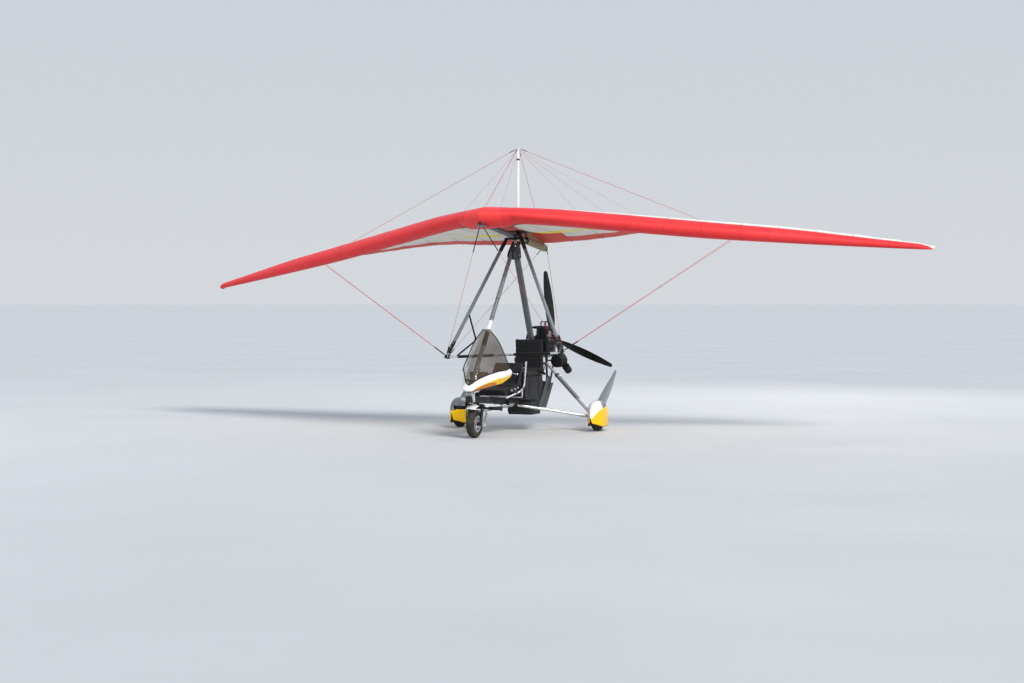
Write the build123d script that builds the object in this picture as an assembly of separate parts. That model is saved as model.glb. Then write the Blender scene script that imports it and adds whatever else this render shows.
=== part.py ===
"""A two-seat weight-shift microlight: a three-wheeled trike hung under a cable-braced flexible wing.

Millimetres. x points to the pilot's left, y points aft and z points up, with the ground at z = 0.
The trike's own centre plane is x = 0. The wing hangs a little right wing down and nose up.
"""

import os
from math import atan2, cos, hypot, pi, radians, sin

from build123d import *

# Driving dimensions of the trike
axle_y = 350.0            # main axle, aft of the origin
wheelbase = 1690.0
track = 1848.0
wheel_radius = 167.0
tyre_width = 96.0
rim_radius = 94.0         # where the tyre's bead seats
axle_radius = 10.0
running_gap = 0.05        # radial play of a shaft in its bore
seat_gap = 0.3            # between pieces that are only seated on each other
moving_gap = 8.0          # round pieces that move

beam_width, beam_height = 60.0, 80.0
beam_front_y, beam_front_z = -1870.0, 460.0   # y here and below is measured from the main axle
beam_rear_y, beam_rear_z = 570.0, 300.0

head_rake = 15.0          # steering axis, top leaning aft
head_radius, stem_radius = 32.0, 20.0
fork_half_width = 80.0
fork_leg_radius = 17.0
crown_rise = 206.0        # crown above the front axle, along the steering axis
crown_height = 26.0

mast_width, mast_depth, mast_wall = 62.0, 74.0, 4.0
mast_top_y, mast_top_z = -388.0, 2190.0
mast_foot_y, mast_foot_z = 478.0, 352.0
strut_radius, strut_wall = 25.0, 3.0
strut_top_y, strut_top_z = -530.0, 2196.0
strut_foot_y, strut_foot_z = -1822.0, 560.0

pivot_y, pivot_z = -388.0, 2308.0             # hang bolt
hang_bolt_radius = 6.0
cheek_wall = 8.0                              # mast head plates

# Driving dimensions of the wing, in its own frame: origin on the keel tube's axis above the hang bolt
wing_pitch = 6.9          # nose up
wing_roll = 2.7           # left wing up
keel_drop = 75.0          # hang bolt below the keel tube's axis
keel_radius, keel_wall = 30.0, 3.0
keel_front_y, keel_rear_y = -1150.0, 985.0
keel_eye_inset, keel_eye_radius = 14.0, 5.0   # cross hole near the aft end
rear_wire_inset = 30.0
half_span = 4857.0
nose_y, nose_z = -1194.0, 96.0
tip_y, tip_z = 1025.0, -251.0
sail_thickness = 9.0      # single surface
kingpost_radius, kingpost_y, kingpost_top = 17.5, 50.0, 1106.0
upright_radius = 21.0
upright_top_x, upright_top_y, upright_top_z = 92.0, -86.0, -20.0
bar_half_width, bar_y, bar_z = 739.0, -402.0, -1491.0
bar_radius = 14.0
bar_corner_size = (58.0, 54.0, 48.0)
wire_radius = 2.0

os.makedirs("parts", exist_ok=True)


def at(x, y, z):
    """A point of the trike, with y counted from the main axle"""
    return Vector(x, y + axle_y, z)


def bar(start, end, radius, bore=0.0):
    """A round rod, or a tube if it has a bore, from one point to another"""
    start, end = Vector(start), Vector(end)
    profile = Circle(radius)
    if bore:
        profile = profile - Circle(bore)
    return extrude(Plane(origin=start, z_dir=end - start) * profile, (end - start).length)


def box_beam(start, end, width, depth, wall=0.0, corner=6.0):
    """A rectangular tube in the centre plane, from one point to another"""
    start, end = Vector(start), Vector(end)
    profile = RectangleRounded(width, depth, corner)
    if wall:
        profile = profile - RectangleRounded(width - 2 * wall, depth - 2 * wall, corner - wall / 2)
    plane = Plane(origin=start, x_dir=(1, 0, 0), z_dir=end - start)
    return extrude(plane * profile, (end - start).length)


def both_sides(shape):
    """A piece and its mirror image"""
    return [shape, mirror(shape, about=Plane.YZ)]


def side_plate(points, x_low, x_high):
    """A flat plate parallel to the centre plane, with its outline given as y, z pairs"""
    outline = Plane.YZ * make_face(Polyline(*[(y, z) for y, z in points], close=True))
    return extrude(Pos(x_low, 0, 0) * outline, x_high - x_low, dir=(1, 0, 0))


def save(name, shapes):
    """Writes one node"""
    shapes = shapes if isinstance(shapes, list) else [shapes]
    solids = [s for shape in shapes for s in shape.solids()]
    export_step(Compound(children=solids) if len(solids) > 1 else solids[0], f"parts/{name}.step")


def beam_z(y):
    """Height of the beam's centre line"""
    return beam_front_z + (y - beam_front_y) * (beam_rear_z - beam_front_z) / (beam_rear_y - beam_front_y)


def beam_top(y):
    """Height of the beam's upper face"""
    return beam_z(y) + beam_height / 2 / cos(atan2(beam_front_z - beam_rear_z, beam_rear_y - beam_front_y))


def beam_space(gap):
    """The room the beam takes up, with a gap all round"""
    return box_beam(at(0, beam_front_y - 50, beam_z(beam_front_y - 50)), at(0, beam_rear_y + 50,
                    beam_z(beam_rear_y + 50)), beam_width + 2 * gap, beam_height + 2 * gap, 0, 6)


def mast_at(z):
    """y of the mast's centre line at a height"""
    return mast_foot_y + (z - mast_foot_z) * (mast_top_y - mast_foot_y) / (mast_top_z - mast_foot_z)


def strut_at(z):
    """y of the front strut's centre line at a height"""
    return strut_foot_y + (z - strut_foot_z) * (strut_top_y - strut_foot_y) / (strut_top_z - strut_foot_z)


# Steering axis: through the front axle, leaning aft towards its top
front_axle = at(0, -wheelbase, wheel_radius)
steer_axis = Vector(0, sin(radians(head_rake)), cos(radians(head_rake)))


def on_steer(distance, x=0.0, forward=0.0):
    """A point along the steering axis above the front axle, and ahead of it"""
    ahead = Vector(0, -cos(radians(head_rake)), sin(radians(head_rake)))
    return front_axle + steer_axis * distance + ahead * forward + Vector(x, 0, 0)


crown_plane = Plane(origin=on_steer(crown_rise), x_dir=(1, 0, 0), z_dir=steer_axis)
head_low, head_high = crown_rise + crown_height + 3, crown_rise + crown_height + 118


# Frame of the trike
def keel_beam():
    start = at(0, beam_front_y, beam_front_z)
    end = at(0, beam_rear_y, beam_rear_z)
    beam = box_beam(start, end, beam_width, beam_height)
    head = bar(on_steer(head_low), on_steer(head_high), head_radius)
    bore = bar(on_steer(head_low - 60), on_steer(head_high + 60), stem_radius + running_gap)
    tow_hole = bar(at(-60, beam_front_y + 32, beam_z(beam_front_y + 32)),
                   at(60, beam_front_y + 32, beam_z(beam_front_y + 32)), 8)
    return beam + head - bore - tow_hole


def mast():
    tube = box_beam(at(0, mast_at(mast_foot_z - 40), mast_foot_z - 40), at(0, mast_top_y, mast_top_z),
                    mast_width, mast_depth, mast_wall, 16)
    below = Pos(*at(0, mast_foot_y, beam_top(mast_foot_y - 60) + seat_gap - 100)) * Box(200, 400, 200)
    return tube - below


def front_strut():
    """Tube from the mast head to two plates that clasp the beam"""
    tube = bar(at(0, strut_foot_y, strut_foot_z), at(0, strut_top_y, strut_top_z),
               strut_radius, strut_radius - strut_wall)
    half = beam_width / 2 + seat_gap
    plate = side_plate([(y + axle_y, z) for y, z in ((-1806, 425), (-1745, 425), (-1775, 610), (-1835, 610),
                                                    (-1850, 540))], half, half + 6)
    spacer = Pos(*at(0, strut_foot_y + 12, strut_foot_z + 14)) * Box(2 * half, 50, 40)
    return tube + plate + mirror(plate, about=Plane.YZ) + spacer


def mast_head():
    """Two cheek plates that clasp the mast and strut tops and carry the hang bolt"""
    outline = [(pivot_y - 26, pivot_z + 22), (pivot_y + 26, pivot_z + 22), (pivot_y + 46, pivot_z - 60),
               (mast_at(2130) + 46, 2130), (mast_at(2130) - 30, 2105), (strut_at(2130) - 6, 2130),
               (strut_at(2190) - 30, 2190), (strut_at(2190) - 6, 2216)]
    outline = [(y + axle_y, z) for y, z in outline]
    half = mast_width / 2 + seat_gap
    cheek = side_plate(outline, half, half + cheek_wall)
    bolt_hole = bar(at(-90, pivot_y, pivot_z), at(90, pivot_y, pivot_z), hang_bolt_radius + running_gap)
    spacer = Pos(*at(0, (mast_top_y + strut_top_y) / 2 + 4, 2168)) * Box(2 * half, 36, 26)
    return (cheek + mirror(cheek, about=Plane.YZ) + spacer) - bolt_hole


def hang_bolt():
    half = mast_width / 2 + seat_gap + cheek_wall
    shank = bar(at(-half - 16, pivot_y, pivot_z), at(half + 16, pivot_y, pivot_z), hang_bolt_radius)
    head = bar(at(half + 0.3, pivot_y, pivot_z), at(half + 9, pivot_y, pivot_z), 11)
    nut = bar(at(-half - 11, pivot_y, pivot_z), at(-half - 0.3, pivot_y, pivot_z), 11)
    return shank + head + nut


# Wheels
def tyre(centre):
    """Round-shouldered tyre with its axis along x"""
    half, bead = tyre_width / 2, tyre_width / 2 - 12
    side_r, shoulder_r = (wheel_radius + rim_radius) / 2 - 4, wheel_radius - 12
    outline = [
        Line((-bead, rim_radius), (bead, rim_radius)),
        ThreePointArc((bead, rim_radius), (half, side_r), (half - 12, shoulder_r)),
        ThreePointArc((half - 12, shoulder_r), (0, wheel_radius), (12 - half, shoulder_r)),
        ThreePointArc((12 - half, shoulder_r), (-half, side_r), (-bead, rim_radius)),
    ]
    ring = revolve(make_face(outline), axis=Axis.X)
    return Pos(*centre) * ring


def rim(centre, spokes=5):
    """Cast rim: a flanged barrel, a dished disc with windows and a bored hub"""
    barrel_r = rim_radius - 0.2
    half = tyre_width / 2 - 12
    barrel = Rot(0, 90, 0) * (Cylinder(barrel_r, 2 * half + 16) - Cylinder(barrel_r - 6, 2 * half + 16))
    flange = Rot(0, 90, 0) * (Cylinder(rim_radius + 4, 4) - Cylinder(rim_radius - 8, 4))
    disc = Rot(0, 90, 0) * Cylinder(barrel_r - 3, 12)
    hub = Rot(0, 90, 0) * Cylinder(24, 2 * half + 8)
    window = Rot(0, 90, 0) * Cylinder(rim_radius * 0.21, 40)
    pitch = rim_radius * 0.61
    for k in range(spokes):
        angle = 2 * pi * k / spokes
        disc = disc - Pos(0, pitch * cos(angle), pitch * sin(angle)) * window
    bore = Rot(0, 90, 0) * Cylinder(axle_radius + running_gap, 200)
    shape = barrel + Pos(half + 6, 0, 0) * flange + Pos(-half - 6, 0, 0) * flange + disc + hub - bore
    return Pos(*centre) * shape


# Front fork, with its pedals and mudguard
crown_front, crown_back = 32.0, 150.0
rod_back = 128.0          # damper rods, aft of the steering axis
pedal_back, pedal_drop, pedal_half = 58.0, 6.0, 300.0


def fork():
    """Stem, crown, legs, axle, and a damper rod behind each leg on the end of its link"""
    stem = bar(on_steer(crown_rise), on_steer(head_high + 18), stem_radius)
    nut = bar(on_steer(head_high + 1), on_steer(head_high + 18), 28)
    crown_half = fork_half_width + fork_leg_radius
    crown = crown_plane * Pos(0, 0, crown_height / 2) * Box(2 * crown_half, 2 * crown_front, crown_height)
    shape = stem + nut + crown
    for side in (-1, 1):
        x = side * fork_half_width
        shape = shape + bar(on_steer(-26, x), on_steer(crown_rise + 4, x), fork_leg_radius)
        shape = shape + bar(on_steer(-4, x, 0), on_steer(-4, x, -rod_back), 13)
        shape = shape + bar(on_steer(-4, x, -rod_back), on_steer(crown_rise + 14, x, -rod_back), 8)
        shape = shape + crown_plane * Pos(x, crown_back / 2, 6) * Box(26, crown_back, 12)
    reach = fork_half_width + 24
    axle = bar(front_axle + Vector(-reach, 0, 0), front_axle + Vector(reach, 0, 0), axle_radius)
    foot_bar = bar(on_steer(crown_rise - pedal_drop, -pedal_half, -pedal_back),
                   on_steer(crown_rise - pedal_drop, pedal_half, -pedal_back), 11)
    for side in (-1, 1):
        reaches = (140, pedal_half - 8, pedal_half)
        ends = [on_steer(crown_rise - pedal_drop, side * x, -pedal_back) for x in reaches]
        foot_bar = foot_bar + bar(ends[0], ends[1], 18) + bar(ends[1], ends[2], 30)
    return shape + axle + foot_bar


guard_radius, guard_half, guard_start, guard_end = 218.0, 62.0, 88.0, 126.0


def front_mudguard():
    """A short curved peak ahead of the crown, over the front tyre"""
    inner = guard_radius
    profile = make_face([
        ThreePointArc((-guard_half, inner - 14), (0, inner), (guard_half, inner - 14)),
        Line((guard_half, inner - 14), (guard_half, inner - 10)),
        ThreePointArc((guard_half, inner - 10), (0, inner + 4), (-guard_half, inner - 10)),
        Line((-guard_half, inner - 10), (-guard_half, inner - 14)),
    ])
    strip = Rot(guard_start, 0, 0) * revolve(profile, axis=Axis.X, revolution_arc=guard_end - guard_start)
    stay = crown_plane * Pos(0, -crown_front - seat_gap - 16, 10) * Box(44, 32, 8)
    return Pos(*front_axle) * strip + stay


# Main gear
knuckle_in, knuckle_thick = 92.0, 16.0
axle_end = 84.0           # end of a stub axle, in the spat's boss
strut_pin_x, strut_pin_y, strut_pin_z = 176.0, 200.0, 815.0


def gear_points(side):
    wheel = at(side * track / 2, 0, wheel_radius)
    knuckle = wheel + Vector(-side * knuckle_in, 0, 4)
    return wheel, knuckle


def between_plates(arm, inner_x):
    """Trims an arm flush with the knuckle plate outboard and with a side face inboard"""
    outer_x = track / 2 - knuckle_in - knuckle_thick - seat_gap
    return arm & Pos((inner_x + outer_x) / 2, axle_y, 500) * Box(outer_x - inner_x, 2000, 1000)


def gear_beams():
    """Lower arms from the beam out to the wheels"""
    inner, outer = at(20, -410, 322), gear_points(1)[1] + Vector(-10, -8, 4)
    return both_sides(between_plates(bar(inner, outer, 19), beam_width / 2 + seat_gap))


def gear_struts():
    """Sprung diagonal arms: a bright upper tube in a thicker grey lower leg"""
    top = at(strut_pin_x, strut_pin_y, strut_pin_z)
    low = gear_points(1)[1] + Vector(-10, 0, 58)
    d = (low - top).normalized()
    top = top + d * (15 * hypot(d.Y, d.Z) + seat_gap)
    meet = top + (low - top) * 0.24
    return both_sides(between_plates(bar(top, meet, 17) + bar(meet, low, 26), 100))


def stub_axles():
    """Knuckle plate with the axle that carries the wheel"""
    wheel, knuckle = gear_points(1)
    plate = Pos(*knuckle) * Pos(-knuckle_thick / 2, 0, 24) * Box(knuckle_thick, 64, 150)
    axle = bar(wheel + Vector(-knuckle_in - 4, 0, 0), wheel + Vector(axle_end, 0, 0), axle_radius)
    return both_sides(plate + axle)


spat_length, spat_width, spat_top, spat_bottom = 540.0, 196.0, 374.0, 58.0
spat_wall = 4.0
front_rise = 46.0         # of the spat's lower edge at its front
# Swept fin on the spat's crown. Columns: height, front, chord, thickness, lean outwards
fin_rows = [(250, -80, 340, 60, 0), (330, -60, 380, 54, 0), (420, 72, 366, 38, 2), (530, 258, 290, 27, 6),
            (640, 466, 172, 18, 10), (722, 606, 82, 12, 14)]


def spat_body(inset, bottom):
    """Outer form of a wheel spat about its wheel: a side profile crossed with a plan profile"""
    front, rear = -spat_length / 2 + inset, spat_length / 2 - inset
    top, half = spat_top - inset, spat_width / 2 - inset
    side = make_face([
        Line((front + 20, bottom + front_rise), (front * 0.3, bottom)),
        Line((front * 0.3, bottom), (rear - 16, bottom)),
        Line((rear - 16, bottom), (rear, 250)),
        ThreePointArc((rear, 250), (rear * 0.62, top - 34), (0, top)),
        ThreePointArc((0, top), (front * 0.72, top - 62), (front, 190)),
        Line((front, 190), (front + 20, bottom + front_rise)),
    ])
    plan = make_face([
        ThreePointArc((front, 0), (-40, half), (rear, half * 0.42)),
        Line((rear, half * 0.42), (rear, -half * 0.42)),
        ThreePointArc((rear, -half * 0.42), (-40, -half), (front, 0)),
    ])
    side_solid = extrude(Plane.YZ * side, spat_width, both=True)
    plan_solid = extrude(Rot(0, 0, 90) * plan, 600)
    return side_solid & plan_solid


def fin():
    """The fin, from lens-shaped sections"""
    sections = []
    for z, front, chord, thick, out in fin_rows:
        lens = make_face([ThreePointArc((0, 0), (chord * 0.42, thick / 2), (chord, 0)),
                          ThreePointArc((chord, 0), (chord * 0.42, -thick / 2), (0, 0))])
        sections.append(Pos(out, front, z) * Rot(0, 0, 90) * lens)
    return loft(sections, ruled=True)


def spat(side):
    shell = spat_body(0, spat_bottom) + fin() - spat_body(spat_wall, -20)
    knuckle_slot = Pos(-spat_width / 2, 0, wheel_radius + 40) * Box(80, 84, 200)
    start = tyre_width / 2 + moving_gap
    boss = spat_body(0, spat_bottom) & bar((start, 0, wheel_radius), (spat_width, 0, wheel_radius), 24)
    socket = Pos(0, 0, wheel_radius) * Rot(0, 90, 0) * Pos(0, 0, axle_end / 2 + seat_gap) * Cylinder(
        axle_radius + seat_gap, axle_end)
    placed = Pos(*at(track / 2, 0, 0)) * (shell + boss - knuckle_slot - socket)
    return placed if side > 0 else mirror(placed, about=Plane.YZ)


# Pod, windscreen and instruments
def strut_space():
    return bar(at(0, strut_at(500), 500), at(0, strut_at(1000), 1000), strut_radius + seat_gap)


def u_section(half, depth, wall, rear, front):
    """Section with bowed sides and a round nose, open aft; filled if it has no wall"""
    def arcs(w, d):
        p = [(w, 0), (w * 0.76, d * 0.34), (w * 0.28, d * 0.905)]
        left = [(-x, y) for x, y in reversed(p)]
        return [ThreePointArc(p[0], p[1], p[2]), ThreePointArc(p[2], (0, d), left[0]),
                ThreePointArc(left[0], left[1], left[2])]
    outer = arcs(half, depth)
    if wall:
        inner = arcs(half - wall, depth - wall)
        ends = [Line((half, 0), (half - wall, 0)), Line((-half, 0), (wall - half, 0))]
        face = make_face(outer + inner + ends)
    else:
        face = make_face(outer + [Line((half, 0), (-half, 0))])
    origin, ahead = Vector(rear), Vector(front) - Vector(rear)
    return Plane(origin=origin, x_dir=(1, 0, 0), z_dir=Vector(1, 0, 0).cross(ahead)) * face


def horseshoe(rows, wall):
    """Loft through horseshoe sections. Columns: half width, rear y, rear z, front y, front z"""
    sections = []
    for half, rear_y, rear_z, front_y, front_z in rows:
        depth = hypot(front_y - rear_y, front_z - rear_z)
        sections.append(u_section(half, depth, wall, at(0, rear_y, rear_z), at(0, front_y, front_z)))
    return loft(sections, ruled=True)


pod_wall = 5.0
pod_rows = [(300, -1320, 806, -1851, 623), (318, -1292, 760, -1897, 571), (292, -1292, 700, -1890, 552),
            (235, -1400, 630, -1882, 546)]
screen_wall = 3.5
screen_rows = [(262, -1322, 895, -1752, 790), (212, -1318, 1005, -1640, 960), (142, -1322, 1140, -1482, 1120),
               (40, -1334, 1262, -1372, 1258)]   # above the pod's upper edge


def pod():
    return horseshoe(pod_rows, pod_wall)


def pod_inside():
    """The room inside the pod, less the gap for pieces seated on its wall"""
    shrink = pod_wall + seat_gap
    return horseshoe([(half - shrink, rear_y, rear_z, front_y + shrink, front_z + 1)
                      for half, rear_y, rear_z, front_y, front_z in pod_rows], 0)


def windscreen():
    half, rear_y, rear_z, front_y, front_z = pod_rows[0]
    foot = (half, rear_y, rear_z + seat_gap, front_y, front_z + seat_gap)
    return horseshoe([foot] + screen_rows, screen_wall)


bracket_y, bracket_z, bracket_radius = -1545.0, 668.0, 9.0
panel_width, panel_height, panel_thick, panel_lean = 224.0, 120.0, 24.0, 10.0


def bracket_tube(radius):
    return bar(at(-400, bracket_y, bracket_z), at(400, bracket_y, bracket_z), radius)


def pod_bracket():
    """Cross tube on an arm from the front strut; it carries the pod and the instrument panel"""
    front = strut_at(bracket_z) - strut_radius - 12
    arm = Pos(*at(0, (front + bracket_y) / 2, bracket_z)) * Box(64, bracket_y - front, 24)
    return (bracket_tube(bracket_radius) & pod_inside()) + arm - strut_space()


def instrument_panel():
    rise = panel_height / 2 - bracket_radius - 8
    board = Rot(panel_lean, 0, 0) * Box(panel_width, panel_thick, panel_height)
    board = Pos(*at(0, bracket_y, bracket_z + rise)) * fillet(board.edges().filter_by(Axis.X), 8)
    board = board - bracket_tube(bracket_radius + seat_gap)
    return board - Pos(*at(0, bracket_y - 60, bracket_z)) * Box(64 + 2 * seat_gap, 120, 24 + 2 * seat_gap)


# Seats and what is under them
def seat_frame():
    rail = FilletPolyline(at(205, -1210, 448), at(205, -800, 500), at(205, -640, 560), at(205, -570, 860),
                          radius=60)
    tube = sweep(Plane(origin=rail @ 0, z_dir=rail % 0) * Circle(12), path=rail)
    cross = [bar(at(-205, y, z), at(205, y, z), 10) for y, z in ((-1150, 463.5), (-590, 786))]
    posts = [bar(at(x, -700, beam_top(-700) + 20), at(x, -700, 534), 10) for x in (-205, 205)]
    yoke = bar(at(-205, -700, beam_top(-700) + 10.5), at(205, -700, beam_top(-700) + 10.5), 10)
    return tube + mirror(tube, about=Plane.YZ) + cross[0] + cross[1] + posts[0] + posts[1] + yoke


def seat(points, width, corner):
    """A plain closed cushion and backrest from a side outline"""
    body = side_plate([(y + axle_y, z) for y, z in points], -width / 2, width / 2)
    return fillet(body.edges().filter_by(Axis.X), corner)


def front_seat():
    return seat([(-1180, 470.6), (-800, 513), (-657, 540), (-585, 855), (-640, 862), (-713, 610), (-780, 573),
                 (-1185, 528)], 370, 14)


def rear_seat():
    return seat([(-470, 672), (40, 672), (118, 700), (66, 1130), (10, 1130), (30, 760), (-30, 736), (-470, 728)],
                380, 14)


def fuel_tank():
    outline = ((-540, 400), (-150, 378), (-10, 384), (20, 460), (60, 560), (30, 671.5), (-480, 671.5), (-540, 560))
    body = side_plate([(y + axle_y, z) for y, z in outline], -178, 178)
    return fillet(body.edges().filter_by(Axis.X), 12) - beam_space(seat_gap)


def belly_box():
    y0, y1, bottom = -300.0, 60.0, 194.0
    top0, top1 = (2 * beam_z(y) - beam_top(y) - seat_gap for y in (y0, y1))
    outline = ((y0, top0), (y1, top1), (y1 - 24, bottom), (y0 + 40, bottom), (y0, bottom + 44))
    body = side_plate([(y + axle_y, z) for y, z in outline], -150, 150)
    return fillet(body.edges().filter_by(Axis.X), 12)


# Engine bay
mount_z = 900.0
engine_y = 530.0          # middle of the crankcase
gear_y = engine_y + 175.0
drum_x, drum_z, drum_radius = 268.0, 845.0, 82.0


def engine_mount():
    rails = [bar(at(side * 96, 232, mount_z), at(side * 96, 790, mount_z), 14) for side in (-1, 1)]
    cross = bar(at(-strut_pin_x, strut_pin_y, strut_pin_z), at(strut_pin_x, strut_pin_y, strut_pin_z), 15)
    legs = [bar(at(side * 43, beam_rear_y - 30, beam_rear_z + 30), at(side * 96, 700, mount_z), 12)
            for side in (-1, 1)]
    plate = side_plate([(y + axle_y, z) for y, z in ((mast_at(960) + 30, 960), (mast_at(800) + 30, 780),
                                                     (mast_at(800) - 52, 780), (mast_at(960) - 52, 960))],
                       mast_width / 2 + seat_gap, mast_width / 2 + seat_gap + 8)
    plates = both_sides(plate)
    links = [Pos(*at(side * 66, 236, mount_z)) * Box(60, 16, 40) for side in (-1, 1)]
    shelf_end = drum_x - drum_radius - seat_gap
    shelf = Pos(*at(102, 395, 868)) * Box(12, 60, 80)
    shelf = shelf + Pos(*at((102 + shelf_end) / 2, 395, drum_z)) * Box(shelf_end - 102, 60, 16)
    shape = rails[0] + rails[1] + cross + shelf
    for pair in (plates, legs, links):
        shape = shape + pair[0] + pair[1]
    for y in (engine_y - 120, engine_y + 150):
        shape = shape + Pos(*at(0, y, mount_z + 7)) * Box(220, 30, 14)
    return shape


crank_z = 1030.0
barrel_ys, fin_radius = (engine_y - 80, engine_y + 60), 65.0


def engine():
    """Twin-cylinder two-stroke: crankcase with finned barrels and a flat head"""
    case = Pos(*at(0, engine_y, mount_z + 14 + seat_gap + 100)) * Box(200, 350, 200)
    case = fillet(case.edges().filter_by(Axis.Y), 40)
    shape = case
    for y in barrel_ys:
        shape = shape + Pos(*at(0, y, crank_z + 150)) * Cylinder(56, 140)
        for k in range(6):
            shape = shape + Pos(*at(0, y, crank_z + 104 + 16 * k)) * Cylinder(fin_radius, 6)
    head = Pos(*at(0, engine_y - 10, crank_z + 232)) * Box(140, 290, 34)
    return shape + fillet(head.edges().filter_by(Axis.Z), 20)


prop_y, prop_z = gear_y + 171.0, 1112.0
prop_radius = 880.0
hub_radius = 62.0


def gearbox():
    """Upright case, with the raised propeller shaft out of its rear face"""
    low, high = at(0, gear_y + seat_gap, crank_z), at(0, gear_y + seat_gap, prop_z)
    outline = Pos(0, (low.Z + high.Z) / 2) * RectangleRounded(150, 250, 70)
    case = extrude(Plane.XZ.offset(-low.Y) * outline, -98)
    boss = bar(at(0, gear_y + 95, prop_z), at(0, gear_y + 130, prop_z), 40)
    shaft = bar(at(0, gear_y + 125, prop_z), at(0, prop_y - 2, prop_z), 16)
    return case + boss + shaft


radiator_half = 181.0


def radiator():
    """Core slung ahead of the mast between two side cheeks"""
    core = Pos(*at(0, 228, 478)) * Rot(48, 0, 0) * Box(2 * radiator_half, 250, 46)
    foot = Pos(*at(0, 158, 380)) * Box(120, 40, 50)
    inner, outer = radiator_half + seat_gap, radiator_half + seat_gap + 6
    front = [(y + axle_y, z) for y, z in ((-98, 281), (60, 274), (296, 648), (216, 662))]
    rear = [(y + axle_y, z) for y, z in ((40, 272), (137, 268), (385, 565), (276, 572))]
    cheek = side_plate(front, inner, outer + 2) + side_plate(rear, outer, outer + 8)
    return [core + foot - beam_space(seat_gap)] + both_sides(cheek)


def intake_silencer():
    drum = Pos(*at(drum_x, 395, drum_z)) * Rot(90, 0, 0) * Cylinder(drum_radius, 190)
    drum = fillet(drum.edges(), 22)
    lid = Pos(*at(drum_x, 395, drum_z + 55)) * Box(120, 150, 40)
    filt = Pos(*at(336, 500, 745)) * Rot(60, 0, 0) * Cylinder(44, 110)
    neck = bar(at(300, 440, 800), at(330, 490, 755), 22)
    return drum + lid + neck + fillet(filt.edges(), 10)


def exhaust():
    """Two stubs into an expansion chamber and a silencer along the engine's right side"""
    port_z = crank_z + 140
    rows = ((330, 24), (420, 58), (640, 58), (760, 30))
    discs = [Plane(origin=at(-232, y, crank_z + 10), z_dir=(0, 1, 0)) * Circle(r) for y, r in rows]
    shape = loft(discs, ruled=True)
    for y in barrel_ys:
        stub = bar(at(-20, y, port_z), at(-232, y, crank_z + 16), 20)
        shape = shape + stub - Pos(*at(0, y, port_z)) * Cylinder(fin_radius + seat_gap, 200)
    can = Pos(*at(-252, 490, 850)) * Rot(90, 0, 0) * Cylinder(54, 380)
    elbow = bar(at(-236, 385, crank_z + 6), at(-252, 385, 855), 19)
    tail = bar(at(-252, 660, 850), at(-252, 760, 812), 17)
    return shape + can + elbow + tail


# Propeller
def blade():
    """Twisted lens-shaped blade along +z from the hub's centre"""
    sections = []
    rows = ((hub_radius + seat_gap, 40, 30, 62), (170, 92, 24, 42), (380, 112, 16, 26), (640, 96, 11, 17),
            (prop_radius, 46, 6, 13))
    for r, chord, thick, twist in rows:
        lens = make_face([ThreePointArc((-chord / 2, 0), (-chord * 0.08, thick / 2), (chord / 2, 0)),
                          ThreePointArc((chord / 2, 0), (-chord * 0.08, -thick / 2), (-chord / 2, 0))])
        sections.append(Pos(0, 0, r) * Rot(0, 0, twist) * lens)
    return loft(sections, ruled=True)


blade_angles = (97.0, -23.0, 217.0)   # from the pilot's left, towards up


def propeller_blades():
    one = blade()
    return [Pos(*at(0, prop_y, prop_z)) * Rot(0, 90 - a, 0) * one for a in blade_angles]


def propeller_hub():
    disc = bar(at(0, prop_y - 30, prop_z), at(0, prop_y + 26, prop_z), hub_radius)
    nose = Pos(*at(0, prop_y + 26, prop_z)) * (Sphere(36) & Pos(0, 20, 0) * Box(80, 40, 80))
    shaft_hole = bar(at(0, prop_y - 40, prop_z), at(0, prop_y + 2, prop_z), 16 + running_gap)
    return disc + nose - shaft_hole


# Wing, in its own frame
def wing_place():
    """Carries the wing from its own frame to the trike's: rolled about the keel, then pitched"""
    return (Pos(*at(0, pivot_y, pivot_z)) * Rot(-wing_pitch, 0, 0) * Pos(0, 0, keel_drop)
            * Rot(0, -wing_roll, 0))


def bracket_place():
    return Pos(*at(0, pivot_y, pivot_z)) * Rot(-wing_pitch, 0, 0) * Pos(0, 0, keel_drop)


def hang_bracket():
    """Sleeve round the keel tube with a tongue for the hang bolt"""
    sleeve = Pos(0, -15, 0) * Rot(90, 0, 0) * Cylinder(keel_radius + 13, 70)
    tongue = Pos(0, 0, -(keel_drop + keel_radius + 8) / 2) * Box(40, 52, keel_drop - keel_radius + 8)
    eye = Pos(0, 0, -keel_drop) * Rot(0, 90, 0) * Cylinder(24, 40)
    bolt_hole = Pos(0, 0, -keel_drop) * Rot(0, 90, 0) * Cylinder(hang_bolt_radius + running_gap, 90)
    keel_hole = Rot(90, 0, 0) * Cylinder(keel_radius + running_gap, 120)
    shape = sleeve + tongue + eye - bolt_hole - keel_hole
    return bracket_place() * shape


def keel_tube():
    tube = bar((0, keel_front_y, 0), (0, keel_rear_y, 0), keel_radius, keel_radius - keel_wall)
    eye_y = keel_rear_y - keel_eye_inset
    eye = bar((-60, eye_y, 0), (60, eye_y, 0), keel_eye_radius)
    nose_plate = Pos(0, keel_front_y + 50, -keel_radius - 3) * Box(120, 110, 8)
    return tube + nose_plate - eye


def leading_edge(x):
    """Leading edge point of the sail at a span station"""
    share = abs(x) / half_span
    return nose_y + share * (tip_y - nose_y), nose_z + share * (tip_z - nose_z)


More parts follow.
